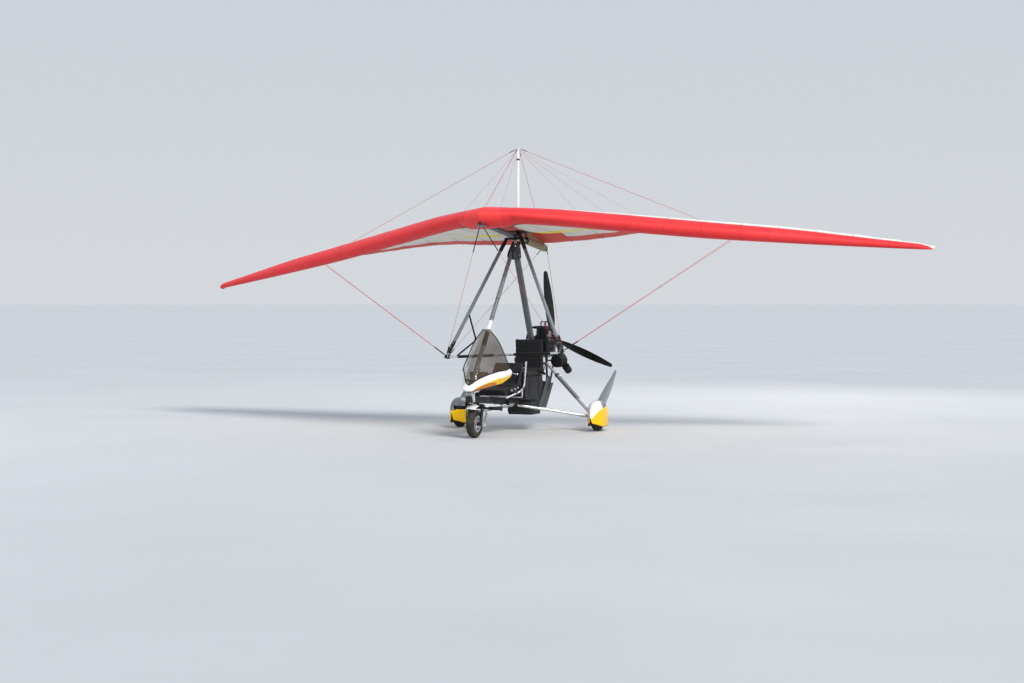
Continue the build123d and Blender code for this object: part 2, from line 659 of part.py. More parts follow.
# Columns: span station, trailing edge y, trailing edge z, depth above the chord, depth below it, share of the
# chord where the lower surface ends, drop from there to its rear edge
sail_rows = [
    (0, 936, 66, 140, 138, 0.21, 6),
    (250, 958, 71, 150, 96, 0.22, 6),
    (330, 972, 74, 154, 52, 0.66, 90),
    (700, 1005, 92, 166, 56, 0.66, 60),
    (1400, 1075, 150, 146, 78, 0.67, 36),
    (2400, 1180, 118, 120, 96, 0.68, 22),
    (3400, 1300, 50, 98, 84, 0.70, 16),
    (4300, 1440, -60, 52, 58, 0.74, 9),
    (4857, 1560, -170, 32, 34, 0.80, 6),
]
low_share, crest_share, mid_share = 0.11, 0.20, 0.60


def arc_through(a, b, c):
    """Height of the upper arc through three points, as a function of y"""
    d = 2 * (a[0] * (b[1] - c[1]) + b[0] * (c[1] - a[1]) + c[0] * (a[1] - b[1]))
    sq = [p[0] ** 2 + p[1] ** 2 for p in (a, b, c)]
    y0 = (sq[0] * (b[1] - c[1]) + sq[1] * (c[1] - a[1]) + sq[2] * (a[1] - b[1])) / d
    z0 = (sq[0] * (c[0] - b[0]) + sq[1] * (a[0] - c[0]) + sq[2] * (b[0] - a[0])) / d
    r = hypot(a[0] - y0, a[1] - z0)
    return lambda y: z0 + (r * r - (y - y0) ** 2) ** 0.5


def sail_section(x, te_y, te_z, above, below, join, drop):
    """Closed section: round nose, cambered top, lower surface up to join, thin single-surface tail"""
    le_y, le_z = leading_edge(x)
    chord = te_y - le_y

    def p(u, w):
        return (le_y + u * chord, le_z + u * (te_z - le_z) + w)

    nose_w = (above - below) * 0.25
    nose, crest, keel = p(0, nose_w), p(crest_share, above), p(low_share, -below)
    tail_top, tail_low = p(1.0, sail_thickness / 2), p(1.0, -sail_thickness / 2)
    top_mid = p(mid_share, above * 0.62)
    top = arc_through(crest, top_mid, tail_top)
    join_y, half_y = p(join, 0)[0], p((join + 1) / 2, 0)[0]
    under, half = (join_y, top(join_y) - sail_thickness), (half_y, top(half_y) - sail_thickness)
    edges = [
        ThreePointArc(keel, p(low_share * 0.293, nose_w - (nose_w + below) * 0.707), nose),
        ThreePointArc(nose, p(crest_share * 0.293, nose_w + (above - nose_w) * 0.707), crest),
        ThreePointArc(crest, top_mid, tail_top),
        Line(tail_top, tail_low),
        ThreePointArc(tail_low, half, under),
        Line(under, (under[0], under[1] - drop)),
        Line((under[0], under[1] - drop), keel),
    ]
    return Plane.YZ.offset(x) * make_face(edges)


def nose_space():
    """The room for the keel tube's front end and the nose plate"""
    tube = bar((0, keel_front_y - 200, 0), (0, 0, 0), keel_radius + seat_gap)
    plate = Pos(0, keel_front_y + 50, -keel_radius - 53) * Box(120 + 2 * seat_gap, 110 + 2 * seat_gap, 108)
    return tube + plate


def sail():
    half = loft([sail_section(*row) for row in sail_rows], ruled=True)
    wing = half + mirror(half, about=Plane.YZ)
    return wing - Pos(0, kingpost_y, 100) * Cylinder(kingpost_radius + 4, 400) - nose_space()


def below_sail(shape, shift):
    """What is left of a shape on its own side of the sail"""
    cut = shape - Pos(*shift) * sail()
    return cut.solids().sort_by(SortBy.VOLUME)[-1]


def keel_pocket():
    """Fabric sleeve that hangs from the sail round the aft keel"""
    sleeve = side_plate([(300, keel_radius + 9), (930, keel_radius + 9), (968, 24), (900, -keel_radius - 14),
                         (330, -keel_radius - 14)], -keel_radius - 8, keel_radius + 8)
    web = side_plate([(300, keel_radius + 4), (930, keel_radius + 4), (925, 300), (300, 300)], -7, 7)
    shape = sleeve + web - bar((0, 100, 0), (0, 1200, 0), keel_radius + seat_gap)
    return below_sail(shape, (0, 0, -seat_gap))


def kingpost():
    post = bar((0, kingpost_y, keel_radius + seat_gap), (0, kingpost_y, kingpost_top), kingpost_radius)
    cap = bar((0, kingpost_y, kingpost_top), (0, kingpost_y, kingpost_top + 14), kingpost_radius + 6)
    return post + cap


def cross_bar():
    """Centre joint of the cross tubes above the keel, between the two lower surfaces"""
    tube = below_sail(bar((40, 112, 84), (420, 112, 96), 20), (-seat_gap, 0, 0))
    saddle = Pos(0, 112, (84 + keel_radius) / 2) * Box(60, 50, 84 - keel_radius + 20)
    return tube + mirror(tube, about=Plane.YZ) + saddle - bar((0, 0, 0), (0, 300, 0), keel_radius + seat_gap)


def upright_line():
    top = Vector(upright_top_x, upright_top_y, upright_top_z)
    return top, Vector(bar_half_width - 6, bar_y + 3, bar_z + 42)


def uprights():
    return both_sides(bar(*upright_line(), upright_radius))


def apex_bracket():
    """Clamp on the keel tube ahead of the hang point that holds the control frame's uprights"""
    y = upright_top_y
    block = Pos(0, y, upright_top_z + 8) * Box(2 * upright_top_x - 40, 48, 60)
    block = block - bar((0, y - 80, 0), (0, y + 60, 0), keel_radius + seat_gap)
    return block


def base_bar():
    return bar((-bar_half_width + 30, bar_y, bar_z), (bar_half_width - 30, bar_y, bar_z), bar_radius)


def bar_corners():
    corner = Pos(bar_half_width, bar_y, bar_z + 6) * Box(*bar_corner_size)
    corner = fillet(corner.edges().filter_by(Axis.Y), 12)
    return both_sides(corner)


def training_bars():
    """Second set of hand rails that reach back from the control frame"""
    top, foot = Vector(upright_top_x, upright_top_y, upright_top_z), Vector(bar_half_width, bar_y, bar_z)
    start = Vector(bar_half_width - 110, bar_y, bar_z)
    bend = start + Vector(-90, 414, 240)
    path = FilletPolyline(start, bend, foot + (top - foot) * 0.36, radius=40)
    rail = sweep(Plane(origin=path @ 0, z_dir=path % 0) * Circle(10), path=path)
    rail = rail - bar((0, bar_y, bar_z), (bar_half_width, bar_y, bar_z), bar_radius + seat_gap)
    rail = rail - bar(*upright_line(), upright_radius + seat_gap)
    return both_sides(rail.solids().sort_by(SortBy.VOLUME)[-1])


def stay(start, end):
    """A straight wire from a fitting to a point inside the sail, cut just short of its cloth"""
    start, end = Vector(start), Vector(end)
    return below_sail(bar(start, end, wire_radius), (start - end).normalized() * seat_gap)


def lower_wires():
    face = (bar_corner_size[0] / 2 + seat_gap + 1, bar_corner_size[1] / 2 + seat_gap + 2)
    made = []
    for side in (-1, 1):
        corner = Vector(side * bar_half_width, bar_y, bar_z + 12)
        nose = (side * 20, keel_front_y + 40, -keel_radius - 9)
        made.append(bar(corner + Vector(0, -face[1], 8), nose, wire_radius))
        tail = Vector(side * (keel_radius + 2.5), keel_rear_y - rear_wire_inset, -4)
        made.append(bar(corner + Vector(0, face[1], 8), tail, wire_radius))
        for k in (-1, 1):
            made.append(stay(corner + Vector(side * face[0], 6 * k, 12), (side * 2778, 110 + 30 * k, -120)))
    return made


def upper_wires():
    head = Vector(0, kingpost_y, kingpost_top + 7)
    reach = kingpost_radius + 6 + seat_gap
    made = [stay(head + Vector(0, -reach - 1, 0), (0, nose_y + 110, nose_z + 20)),
            bar(head + Vector(0, reach + 1, 0), (0, keel_rear_y - 7, keel_radius + 2.5), wire_radius)]
    for side in (-1, 1):
        made.append(stay(head + Vector(side * (reach + 1), 0, 0), (side * 2650, 120, -60)))
    return made


def build():
    nodes = {
        "keel_beam": keel_beam(), "mast": mast(), "front_strut": front_strut(),
        "mast_head": [mast_head(), hang_bolt()],
        "fork": fork(), "front_mudguard": front_mudguard(),
        "front_tyre": tyre(front_axle), "front_rim": rim(front_axle),
        "gear_arms": gear_beams() + gear_struts(), "stub_axles": stub_axles(),
        "pod": pod(), "windscreen": windscreen(), "pod_bracket": pod_bracket(),
        "instrument_panel": instrument_panel(),
        "seat_frame": seat_frame(), "front_seat": front_seat(), "rear_seat": rear_seat(),
        "fuel_tank": fuel_tank(), "belly_box": belly_box(),
        "engine_mount": engine_mount(), "engine": engine(), "gearbox": gearbox(), "radiator": radiator(),
        "intake_silencer": intake_silencer(), "exhaust": exhaust(),
        "propeller_blades": propeller_blades(), "propeller_hub": propeller_hub(),
        "hang_bracket": hang_bracket(),
    }
    for side, name in ((1, "left"), (-1, "right")):
        wheel = gear_points(side)[0]
        nodes[f"{name}_tyre"] = tyre(wheel)
        nodes[f"{name}_rim"] = rim(wheel)
        nodes[f"{name}_spat"] = spat(side)
    wing = {
        "keel_tube": keel_tube(), "sail": sail(), "keel_pocket": keel_pocket(), "kingpost": kingpost(),
        "cross_bar": cross_bar(), "uprights": uprights() + [apex_bracket()], "base_bar": base_bar(),
        "bar_corners": bar_corners(), "training_bars": training_bars(), "lower_wires": lower_wires(),
        "upper_wires": upper_wires(),
    }
    place = wing_place()
    for name, shapes in wing.items():
        shapes = shapes if isinstance(shapes, list) else [shapes]
        nodes[name] = [place * shape for shape in shapes]
    for name, shapes in nodes.items():
        save(name, shapes)


build()
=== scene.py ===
import bpy
import math
import numpy as np
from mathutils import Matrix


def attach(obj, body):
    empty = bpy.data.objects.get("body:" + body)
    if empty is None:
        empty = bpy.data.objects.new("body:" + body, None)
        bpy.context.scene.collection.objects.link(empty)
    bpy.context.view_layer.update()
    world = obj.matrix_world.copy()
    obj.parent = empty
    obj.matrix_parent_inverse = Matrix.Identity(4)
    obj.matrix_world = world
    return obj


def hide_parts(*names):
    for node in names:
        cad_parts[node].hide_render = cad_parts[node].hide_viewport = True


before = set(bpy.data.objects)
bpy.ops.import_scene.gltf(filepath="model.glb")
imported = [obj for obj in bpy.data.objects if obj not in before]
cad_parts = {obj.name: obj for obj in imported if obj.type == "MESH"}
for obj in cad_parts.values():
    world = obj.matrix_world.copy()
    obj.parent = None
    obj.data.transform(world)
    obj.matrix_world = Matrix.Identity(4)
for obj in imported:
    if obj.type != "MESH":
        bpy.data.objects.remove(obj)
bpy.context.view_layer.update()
print("frame loaded:", len(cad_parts), "nodes")

# places: trike points count y from the main axle, wing points from the keel tube above the hang bolt
axleY = 0.35
wingPose = {"hangY": -0.388 + axleY, "hangZ": 2.308, "keelDrop": 0.075, "pitch": 6.9, "roll": 2.7}


def onTrike(points):
    return np.asarray(points, float) + np.array([0.0, axleY, 0.0])


def onWing(points):
    # roll about the keel, raise to the keel, pitch about the hang bolt, then shift to the hang bolt
    p = np.asarray(points, float)
    r, t = math.radians(wingPose["roll"]), math.radians(wingPose["pitch"])
    x, y, z = p[..., 0], p[..., 1], p[..., 2]
    x1, z1 = x * math.cos(r) - z * math.sin(r), x * math.sin(r) + z * math.cos(r) + wingPose["keelDrop"]
    y2, z2 = y * math.cos(t) + z1 * math.sin(t), -y * math.sin(t) + z1 * math.cos(t)
    return np.stack([x1, y2 + wingPose["hangY"], z2 + wingPose["hangZ"]], axis=-1)


def wingWay(v):
    # a direction of the wing's frame
    return onWing(v) - onWing([0, 0, 0])


# the photograph's camera, fitted to the wheels, the mast and the wing
camera = {"heading": 22.18, "distance": 24.03, "side": 0.198, "height": 1.65, "lens": 67.66, "down": 1.33}


def makeCamera(c):
    a = math.radians(c["heading"])
    right, ahead = np.array([math.cos(a), math.sin(a), 0]), np.array([-math.sin(a), math.cos(a), 0])
    data = bpy.data.cameras.new("photoCamera")
    data.sensor_width, data.lens, data.clip_end = 36.0, c["lens"], 400.0
    obj = bpy.data.objects.new("photoCamera", data)
    obj.location = -c["distance"] * ahead - c["side"] * right + np.array([0, axleY, c["height"]])
    obj.rotation_euler = (math.radians(90 - c["down"]), 0, a)
    bpy.context.scene.collection.objects.link(obj)
    bpy.context.scene.camera = obj


makeCamera(camera)
print("camera placed")


# mesh helpers: a patch holds vertices, faces, material slots and a UV in metres or shares
def gridPatch(points, closeU=False, closeV=False, slot=0, flip=False, uv=None):
    # surface from a (rows, columns, 3) array; faces look along rows x columns
    p = np.asarray(points, float)
    nu, nv = p.shape[:2]
    ends = (nu if closeU else nu - 1, nv if closeV else nv - 1)
    u, v = np.meshgrid(*map(np.arange, ends), indexing="ij")
    u1, v1 = (u + 1) % nu, (v + 1) % nv
    quads = np.stack([u * nv + v, u1 * nv + v, u1 * nv + v1, u * nv + v1], axis=-1).reshape(-1, 4)
    if flip:
        quads = quads[:, ::-1]
    if uv is None:
        uv = np.stack(np.meshgrid(np.linspace(0, 1, nu), np.linspace(0, 1, nv), indexing="ij"), axis=-1)
    slots = np.broadcast_to(np.asarray(slot), u.shape).reshape(-1)
    uv = np.asarray(uv, float).reshape(-1, 2)
    return {"verts": p.reshape(-1, 3), "faces": quads, "slots": slots, "uv": uv}


def fanPatch(ring, flip=False):
    # closes a ring of points with triangles from its middle
    ring = np.asarray(ring, float)
    n = len(ring)
    i = np.arange(n)
    faces = np.stack([i, (i + 1) % n, np.full(n, n), np.full(n, n)], axis=-1)
    if flip:
        faces = faces[:, [1, 0, 2, 3]]
    return {"verts": np.vstack([ring, ring.mean(axis=0)]), "faces": faces, "slots": np.zeros(n, int),
            "uv": np.full((n + 1, 2), 0.5)}


def turns(n):
    # n angles once round
    return np.linspace(0, 2 * np.pi, n, endpoint=False)


def smoothPath(points, steps=8):
    # Catmull-Rom curve through the points, a fixed number of steps in each stretch
    p = np.asarray(points, float)
    if len(p) < 3:
        return p
    ext = np.vstack([2 * p[0] - p[1], p, 2 * p[-1] - p[-2]])
    t = np.linspace(0, 1, steps, endpoint=False)[:, None]
    parts = []
    for a, b, c, d in zip(ext[:-3], ext[1:-2], ext[2:-1], ext[3:]):
        bend = (2 * a - 5 * b + 4 * c - d) * t ** 2 + (3 * b - a - 3 * c + d) * t ** 3
        parts.append(0.5 * (2 * b + (c - a) * t + bend))
    return np.vstack(parts + [p[-1:]])


def unit(v):
    v = np.asarray(v, float)
    return v / np.linalg.norm(v, axis=-1, keepdims=True)


def acrossOf(axis):
    # two unit vectors square to an axis and to each other
    ax = unit(axis)
    e1 = unit(np.cross([0, 0, 1.0] if abs(ax[2]) < 0.9 else [0, 1.0, 0], ax))
    return ax, e1, np.cross(ax, e1)


def pathFrames(path):
    # side and up vectors along a path, turned as little as possible from point to point
    d = unit(np.gradient(np.asarray(path, float), axis=0))
    side = np.cross(d[0], [0, 0, 1.0] if abs(d[0][2]) < 0.9 else [1.0, 0, 0])
    sides = []
    for direction in d:
        side = unit(side - direction * side.dot(direction))
        sides.append(side)
    sides = np.array(sides)
    return sides, np.cross(sides, d)


def tubePatches(path, radius, sides=12, caps=True, flat=1.0):
    # a circle, or an ellipse if flat isn't 1, carried along a path; radius is one number or one per point
    p = np.asarray(path, float)
    r = np.broadcast_to(np.asarray(radius, float), (len(p),))[:, None, None]
    s, u = pathFrames(p)
    a = turns(sides)[None, :, None]
    ring = p[:, None, :] + r * (np.cos(a) * s[:, None, :] + flat * np.sin(a) * u[:, None, :])
    patches = [gridPatch(ring, closeV=True)]
    if caps:
        patches += [fanPatch(ring[0]), fanPatch(ring[-1], flip=True)]
    return patches


def strapPatches(path, width, thick, up):
    # a flat band carried along a path; up is the way its face looks
    p = np.asarray(path, float)
    d = unit(np.gradient(p, axis=0))
    side = unit(np.cross(d, np.asarray(up, float)))
    face = np.cross(side, d)
    corners = ((-1, 1), (1, 1), (1, -1), (-1, -1))
    ring = np.stack([p + side * width / 2 * a + face * thick / 2 * b for a, b in corners], axis=1)
    return [gridPatch(ring, closeV=True, flip=True), fanPatch(ring[0], flip=True), fanPatch(ring[-1])]


def lathePatches(profile, centre, axis, sides=32):
    # (distance along the axis, radius) pairs turned about an axis; the outside is walked along the axis
    prof = np.asarray(profile, float)
    ax, e1, e2 = acrossOf(axis)
    a = turns(sides)
    around = np.cos(a)[:, None] * e1 + np.sin(a)[:, None] * e2
    pts = np.asarray(centre, float) + prof[:, 0, None, None] * ax + prof[:, 1, None, None] * around[None]
    return [gridPatch(pts, closeV=True, flip=True)]


def boxPatches(centre, size, soften, turn=0.0):
    # a block with chamfered edges: four cross-sections of an eight-sided outline, turned some degrees about x
    hx, hy, hz = np.asarray(size, float) / 2
    b = soften
    ring = np.array([(-hx + b, -hy), (hx - b, -hy), (hx, -hy + b), (hx, hy - b), (hx - b, hy), (-hx + b, hy),
                     (-hx, hy - b), (-hx, -hy + b)])
    inner = ring * np.array([(hx - b) / hx, (hy - b) / hy])
    rows = [(inner, -hz), (ring, -hz + b), (ring, hz - b), (inner, hz)]
    pts = np.stack([np.column_stack([xy, np.full(8, z)]) for xy, z in rows])
    c, s = math.cos(math.radians(turn)), math.sin(math.radians(turn))
    pts = pts @ np.array([(1, 0, 0), (0, c, s), (0, -s, c)]) + np.asarray(centre, float)
    return [gridPatch(pts, closeV=True, flip=True), fanPatch(pts[0], flip=True), fanPatch(pts[-1])]


def boltPatches(centre, axis, size):
    # six-sided head on a round washer, its foot at the centre point
    ax, e1, e2 = acrossOf(axis)
    patches = []
    for n, r, low, high in ((6, size, 0.0, 0.75), (14, size * 1.35, -0.02, 0.14)):
        a = turns(n)
        around = np.cos(a)[:, None] * e1 + np.sin(a)[:, None] * e2
        rows = ((low * size, r), (high * size * 0.85, r), (high * size, r * 0.86))
        ring = np.stack([np.asarray(centre) + ax * h + around * q for h, q in rows])
        patches += [gridPatch(ring, closeV=True, flip=True), fanPatch(ring[-1])]
    return patches


def boltsAt(places, axis, size):
    return [patch for place in places for patch in boltPatches(place, axis, size)]


def sleevePatches(foot, way, stops, radii, sides, place=onWing):
    # a stepped sleeve: its radius at each stop along the way from its foot
    return tubePatches(place([foot + way * stop for stop in stops]), radii, sides)


def meshObject(name, patches, materials, smooth=True, angle=40):
    # joins patches into one mesh object at the origin
    offset, verts, faces = 0, [], []
    for patch in patches:
        verts.append(patch["verts"])
        faces.append(np.asarray(patch["faces"]) + offset)
        offset += len(patch["verts"])
    v, f = np.vstack(verts), np.vstack(faces)
    lists = [[a, b, c] if c == d else [a, b, c, d] for a, b, c, d in f.tolist()]
    mesh = bpy.data.meshes.new(name)
    mesh.from_pydata(v.tolist(), [], lists)
    for m in materials if isinstance(materials, (list, tuple)) else [materials]:
        mesh.materials.append(m)
    slots = np.concatenate([p["slots"] for p in patches])
    mesh.polygons.foreach_set("material_index", slots.astype(np.int32))
    uv = np.vstack([p["uv"] for p in patches])
    index = np.empty(len(mesh.loops), np.int32)
    mesh.loops.foreach_get("vertex_index", index)
    mesh.uv_layers.new(name="surface").data.foreach_set("uv", uv[index].astype(np.float32).ravel())
    mesh.update()
    obj = bpy.data.objects.new(name, mesh)
    bpy.context.scene.collection.objects.link(obj)
    if smooth:
        mesh.shade_smooth()
        mesh.set_sharp_from_angle(angle=math.radians(angle))
    return obj


def makePiece(name, patches, materials, body, stands=(), slotName=None, smooth=True, angle=40):
    # a mesh object that rides on a body and may stand for CAD nodes
    obj = meshObject(name, patches, materials, smooth, angle)
    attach(obj, body)
    if stands:
        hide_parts(*stands)
    return obj


def makePieces(body, *rows, smooth=True):
    # several pieces on one body, from rows of name, patches and finish
    for name, patches, finish in rows:
        makePiece(name, patches, mat[finish], body, smooth=smooth)


def finishWith(obj, kind, **values):
    # adds a modifier with the values given
    mod = obj.modifiers.new(kind.lower(), kind)
    for key, value in values.items():
        setattr(mod, key, value)
    return mod


# shader helpers
def feed(tree, socket, value):
    # joins a socket to another, or gives it a plain value
    if isinstance(value, bpy.types.NodeSocket):
        tree.links.new(value, socket)
    else:
        socket.default_value = value


def addNode(tree, kind, feeds=None, **settings):
    # a node with its settings, its inputs filled from sockets or with plain values
    node = tree.nodes.new(kind)
    for key, value in settings.items():
        setattr(node, key, value)
    for key, value in (feeds or {}).items():
        feed(tree, node.inputs[key], value)
    return node


def newGroup(name, inputs, *outputs):
    # an empty shader group from its inputs' start values and its outputs' labels
    tree = bpy.data.node_groups.new(name, "ShaderNodeTree")
    for label, value in inputs.items():
        kind = "NodeSocketFloat" if isinstance(value, float) else "NodeSocketColor"
        tree.interface.new_socket(label, in_out="INPUT", socket_type=kind).default_value = value
    for label in outputs:
        kind = {"Color": "Color", "Normal": "Vector"}.get(label, "Float")
        tree.interface.new_socket(label, in_out="OUTPUT", socket_type="NodeSocket" + kind)
    return tree, tree.nodes.new("NodeGroupInput").outputs, tree.nodes.new("NodeGroupOutput").inputs


def mathNode(tree, operation, a, b=0.0, c=0.5, clamp=False):
    feeds = {0: a, 1: b, 2: c}
    return addNode(tree, "ShaderNodeMath", feeds, operation=operation, use_clamp=clamp).outputs[0]


def mixNode(tree, share, a, b):
    return addNode(tree, "ShaderNodeMix", {0: share, 6: a, 7: b}, data_type="RGBA").outputs[2]


def blend(tree, share, a, b):
    return addNode(tree, "ShaderNodeMix", {0: share, 2: a, 3: b}, data_type="FLOAT").outputs[0]


def scaled(tree, color, factor):
    return addNode(tree, "ShaderNodeVectorMath", {0: color, "Scale": factor}, operation="SCALE").outputs[0]


def spread(tree, value, low, high, toLow=0.0, toHigh=1.0):
    feeds = {0: value, 1: low, 2: high, 3: toLow, 4: toHigh}
    return addNode(tree, "ShaderNodeMapRange", feeds, clamp=True).outputs[0]


def objectNoise(tree, scale, detail=3.0):
    place = addNode(tree, "ShaderNodeTexCoord").outputs["Object"]
    return addNode(tree, "ShaderNodeTexNoise", {"Vector": place, "Scale": scale, "Detail": detail}).outputs[0]


def mottleGroup():
    # slow changes of tone over a surface
    t, i, o = newGroup("mottle", {"Color": (1, 1, 1, 1), "Scale": 6.0, "Depth": 0.1}, "Color", "Mask")
    noise = spread(t, objectNoise(t, i["Scale"], 5.0), 0.32, 0.68)
    tone = mathNode(t, "SUBTRACT", 1.0, mathNode(t, "MULTIPLY", noise, i["Depth"]))
    t.links.new(scaled(t, i["Color"], tone), o["Color"])
    t.links.new(noise, o["Mask"])
    return t


def edgeGroup():
    # rounded edges by a bevelled normal, and where they rub bare
    t, i, o = newGroup("edgeWear", {"Color": (1, 1, 1, 1), "Bare": (0.6, 0.6, 0.6, 1), "Width": 0.002,
                                    "Amount": 0.5}, "Color", "Mask", "Normal")
    bevel = addNode(t, "ShaderNodeBevel", {"Radius": i["Width"]}, samples=4).outputs[0]
    flat = addNode(t, "ShaderNodeNewGeometry").outputs["Normal"]
    dot = addNode(t, "ShaderNodeVectorMath", {0: bevel, 1: flat}, operation="DOT_PRODUCT").outputs["Value"]
    edge = spread(t, dot, 0.985, 0.86)
    patchy = spread(t, objectNoise(t, 38.0, 4.0), 0.42, 0.62)
    mask = mathNode(t, "MULTIPLY", mathNode(t, "MULTIPLY", edge, patchy), i["Amount"], clamp=True)
    t.links.new(mixNode(t, mask, i["Color"], i["Bare"]), o["Color"])
    t.links.new(mask, o["Mask"])
    t.links.new(bevel, o["Normal"])
    return t


def dustGroup():
    # grass dust that settles low on the machine and on faces that look up
    t, i, o = newGroup("fieldDust", {"Color": (1, 1, 1, 1), "Dust": (0.42, 0.35, 0.23, 1), "Amount": 0.3},
                       "Color", "Mask")
    place = addNode(t, "ShaderNodeTexCoord").outputs["Object"]
    height = addNode(t, "ShaderNodeSeparateXYZ", {0: place}).outputs[2]
    facing = addNode(t, "ShaderNodeNewGeometry").outputs["Normal"]
    upward = addNode(t, "ShaderNodeSeparateXYZ", {0: facing}).outputs[2]
    low = spread(t, height, 1.1, 0.05, 0.15, 1.0)
    up = spread(t, upward, -0.2, 0.9, 0.45, 1.0)
    patchy = spread(t, objectNoise(t, 11.0, 6.0), 0.35, 0.7)
    mask = mathNode(t, "MULTIPLY", mathNode(t, "MULTIPLY", low, up), patchy)
    mask = mathNode(t, "MULTIPLY", mask, i["Amount"], clamp=True)
    t.links.new(mixNode(t, mask, i["Color"], i["Dust"]), o["Color"])
    t.links.new(mask, o["Mask"])
    return t


def grainGroup():
    # fine moulded or cast grain as a height
    t, i, o = newGroup("fineGrain", {"Scale": 500.0}, "Height")
    t.links.new(objectNoise(t, i["Scale"], 2.0), o["Height"])
    return t


def weaveGroup():
    # plain weave from two crossed wave patterns on the piece's own UV, in metres
    t, i, o = newGroup("plainWeave", {"Threads": 900.0}, "Height")
    uv = addNode(t, "ShaderNodeUVMap", uv_map="surface").outputs[0]
    parts = addNode(t, "ShaderNodeSeparateXYZ", {0: uv})
    waves = [mathNode(t, "SINE", mathNode(t, "MULTIPLY", parts.outputs[k], i["Threads"])) for k in (0, 1)]
    t.links.new(mathNode(t, "MULTIPLY_ADD", waves[0], waves[1]), o["Height"])
    return t


def seamGroup():
    # thin stitched seams across the span, a fixed spacing apart, on the UV's first axis in metres
    t, i, o = newGroup("stitchedSeams", {"Color": (1, 1, 1, 1), "Spacing": 0.4, "Start": 0.0, "Dark": 0.5,
                                         "Half": 0.01}, "Color", "Height", "Mask")
    uv = addNode(t, "ShaderNodeUVMap", uv_map="surface").outputs[0]
    parts = addNode(t, "ShaderNodeSeparateXYZ", {0: uv})
    span = mathNode(t, "SUBTRACT", mathNode(t, "ABSOLUTE", parts.outputs[0]), i["Start"])
    share = mathNode(t, "FRACT", mathNode(t, "DIVIDE", span, i["Spacing"]))
    off = mathNode(t, "ABSOLUTE", mathNode(t, "SUBTRACT", share, 0.5))
    gap = mathNode(t, "MULTIPLY", mathNode(t, "SUBTRACT", 0.5, off), i["Spacing"])
    band = mathNode(t, "LESS_THAN", gap, i["Half"])
    stitch = mathNode(t, "SINE", mathNode(t, "MULTIPLY", parts.outputs[1], 700.0))
    edge = mathNode(t, "LESS_THAN", mathNode(t, "ABSOLUTE", mathNode(t, "SUBTRACT", gap, i["Half"])), 0.0016)
    sewn = mathNode(t, "MULTIPLY", edge, mathNode(t, "GREATER_THAN", stitch, -0.4))
    mask = mathNode(t, "MAXIMUM", mathNode(t, "MULTIPLY", band, 0.55), sewn)
    tone = mathNode(t, "SUBTRACT", 1.0, mathNode(t, "MULTIPLY", mask, i["Dark"]))
    t.links.new(scaled(t, i["Color"], tone), o["Color"])
    t.links.new(mathNode(t, "SUBTRACT", band, sewn), o["Height"])
    t.links.new(mask, o["Mask"])
    return t


groups = {"mottle": mottleGroup(), "edge": edgeGroup(), "dust": dustGroup(), "grain": grainGroup(),
          "weave": weaveGroup(), "seams": seamGroup()}


def useGroup(tree, which, feeds):
    node = addNode(tree, "ShaderNodeGroup", node_tree=groups[which])
    for key, value in feeds.items():
        feed(tree, node.inputs[key], value)
    return node.outputs


edgeWidth, grainDepth = 0.0018, 0.001  # width of a rubbed edge and height of a grain, in metres


def opaque(color):
    return (*color, 1.0)


def startMaterial(name, plain):
    # a node material whose Principled shader holds the constant values
    m = bpy.data.materials.new(name)
    m.use_nodes = True
    shader = m.node_tree.nodes["Principled BSDF"]
    for key, value in plain.items():
        shader.inputs[key].default_value = value
    return m, m.node_tree, shader


def dressShader(t, shader, color, mottle, bare, wear, dust, grain):
    # tone, rubbed edges, dust and a fine grain on a shader; gives the masks of the tone and the dust
    tone = useGroup(t, "mottle", {"Color": color, "Scale": mottle[0], "Depth": mottle[1]})
    edge = useGroup(t, "edge", {"Color": tone["Color"], "Bare": bare, "Width": edgeWidth, "Amount": wear})
    dirt = useGroup(t, "dust", {"Color": edge["Color"], "Amount": dust})
    t.links.new(dirt["Color"], shader.inputs["Base Color"])
    height = useGroup(t, "grain", {"Scale": grain[0]})["Height"]
    bump = addNode(t, "ShaderNodeBump", {"Height": height, "Normal": edge["Normal"], "Strength": grain[1],
                                         "Distance": grainDepth})
    t.links.new(bump.outputs[0], shader.inputs["Normal"])
    return tone["Mask"], dirt["Mask"]


def hardFinish(name, color, rough, metal=0.0, mottle=(7.0, 0.12), bare=None, wear=0.4, dust=0.25,
               grain=(420.0, 0.12), **plain):
    # paint, metal, rubber and moulded plastic; rougher where its tone is dark and where it is dusty
    m, t, shader = startMaterial(name, {"Metallic": metal, **plain})
    bare = opaque(bare or [min(1, c * 1.6 + 0.04) for c in color])
    tone, dirt = dressShader(t, shader, opaque(color), mottle, bare, wear, dust, grain)
    uneven, dusty = mathNode(t, "MULTIPLY_ADD", tone, 0.14, rough - 0.07), mathNode(t, "MULTIPLY", dirt, 0.5)
    t.links.new(mathNode(t, "ADD", uneven, dusty, clamp=True), shader.inputs["Roughness"])
    return m


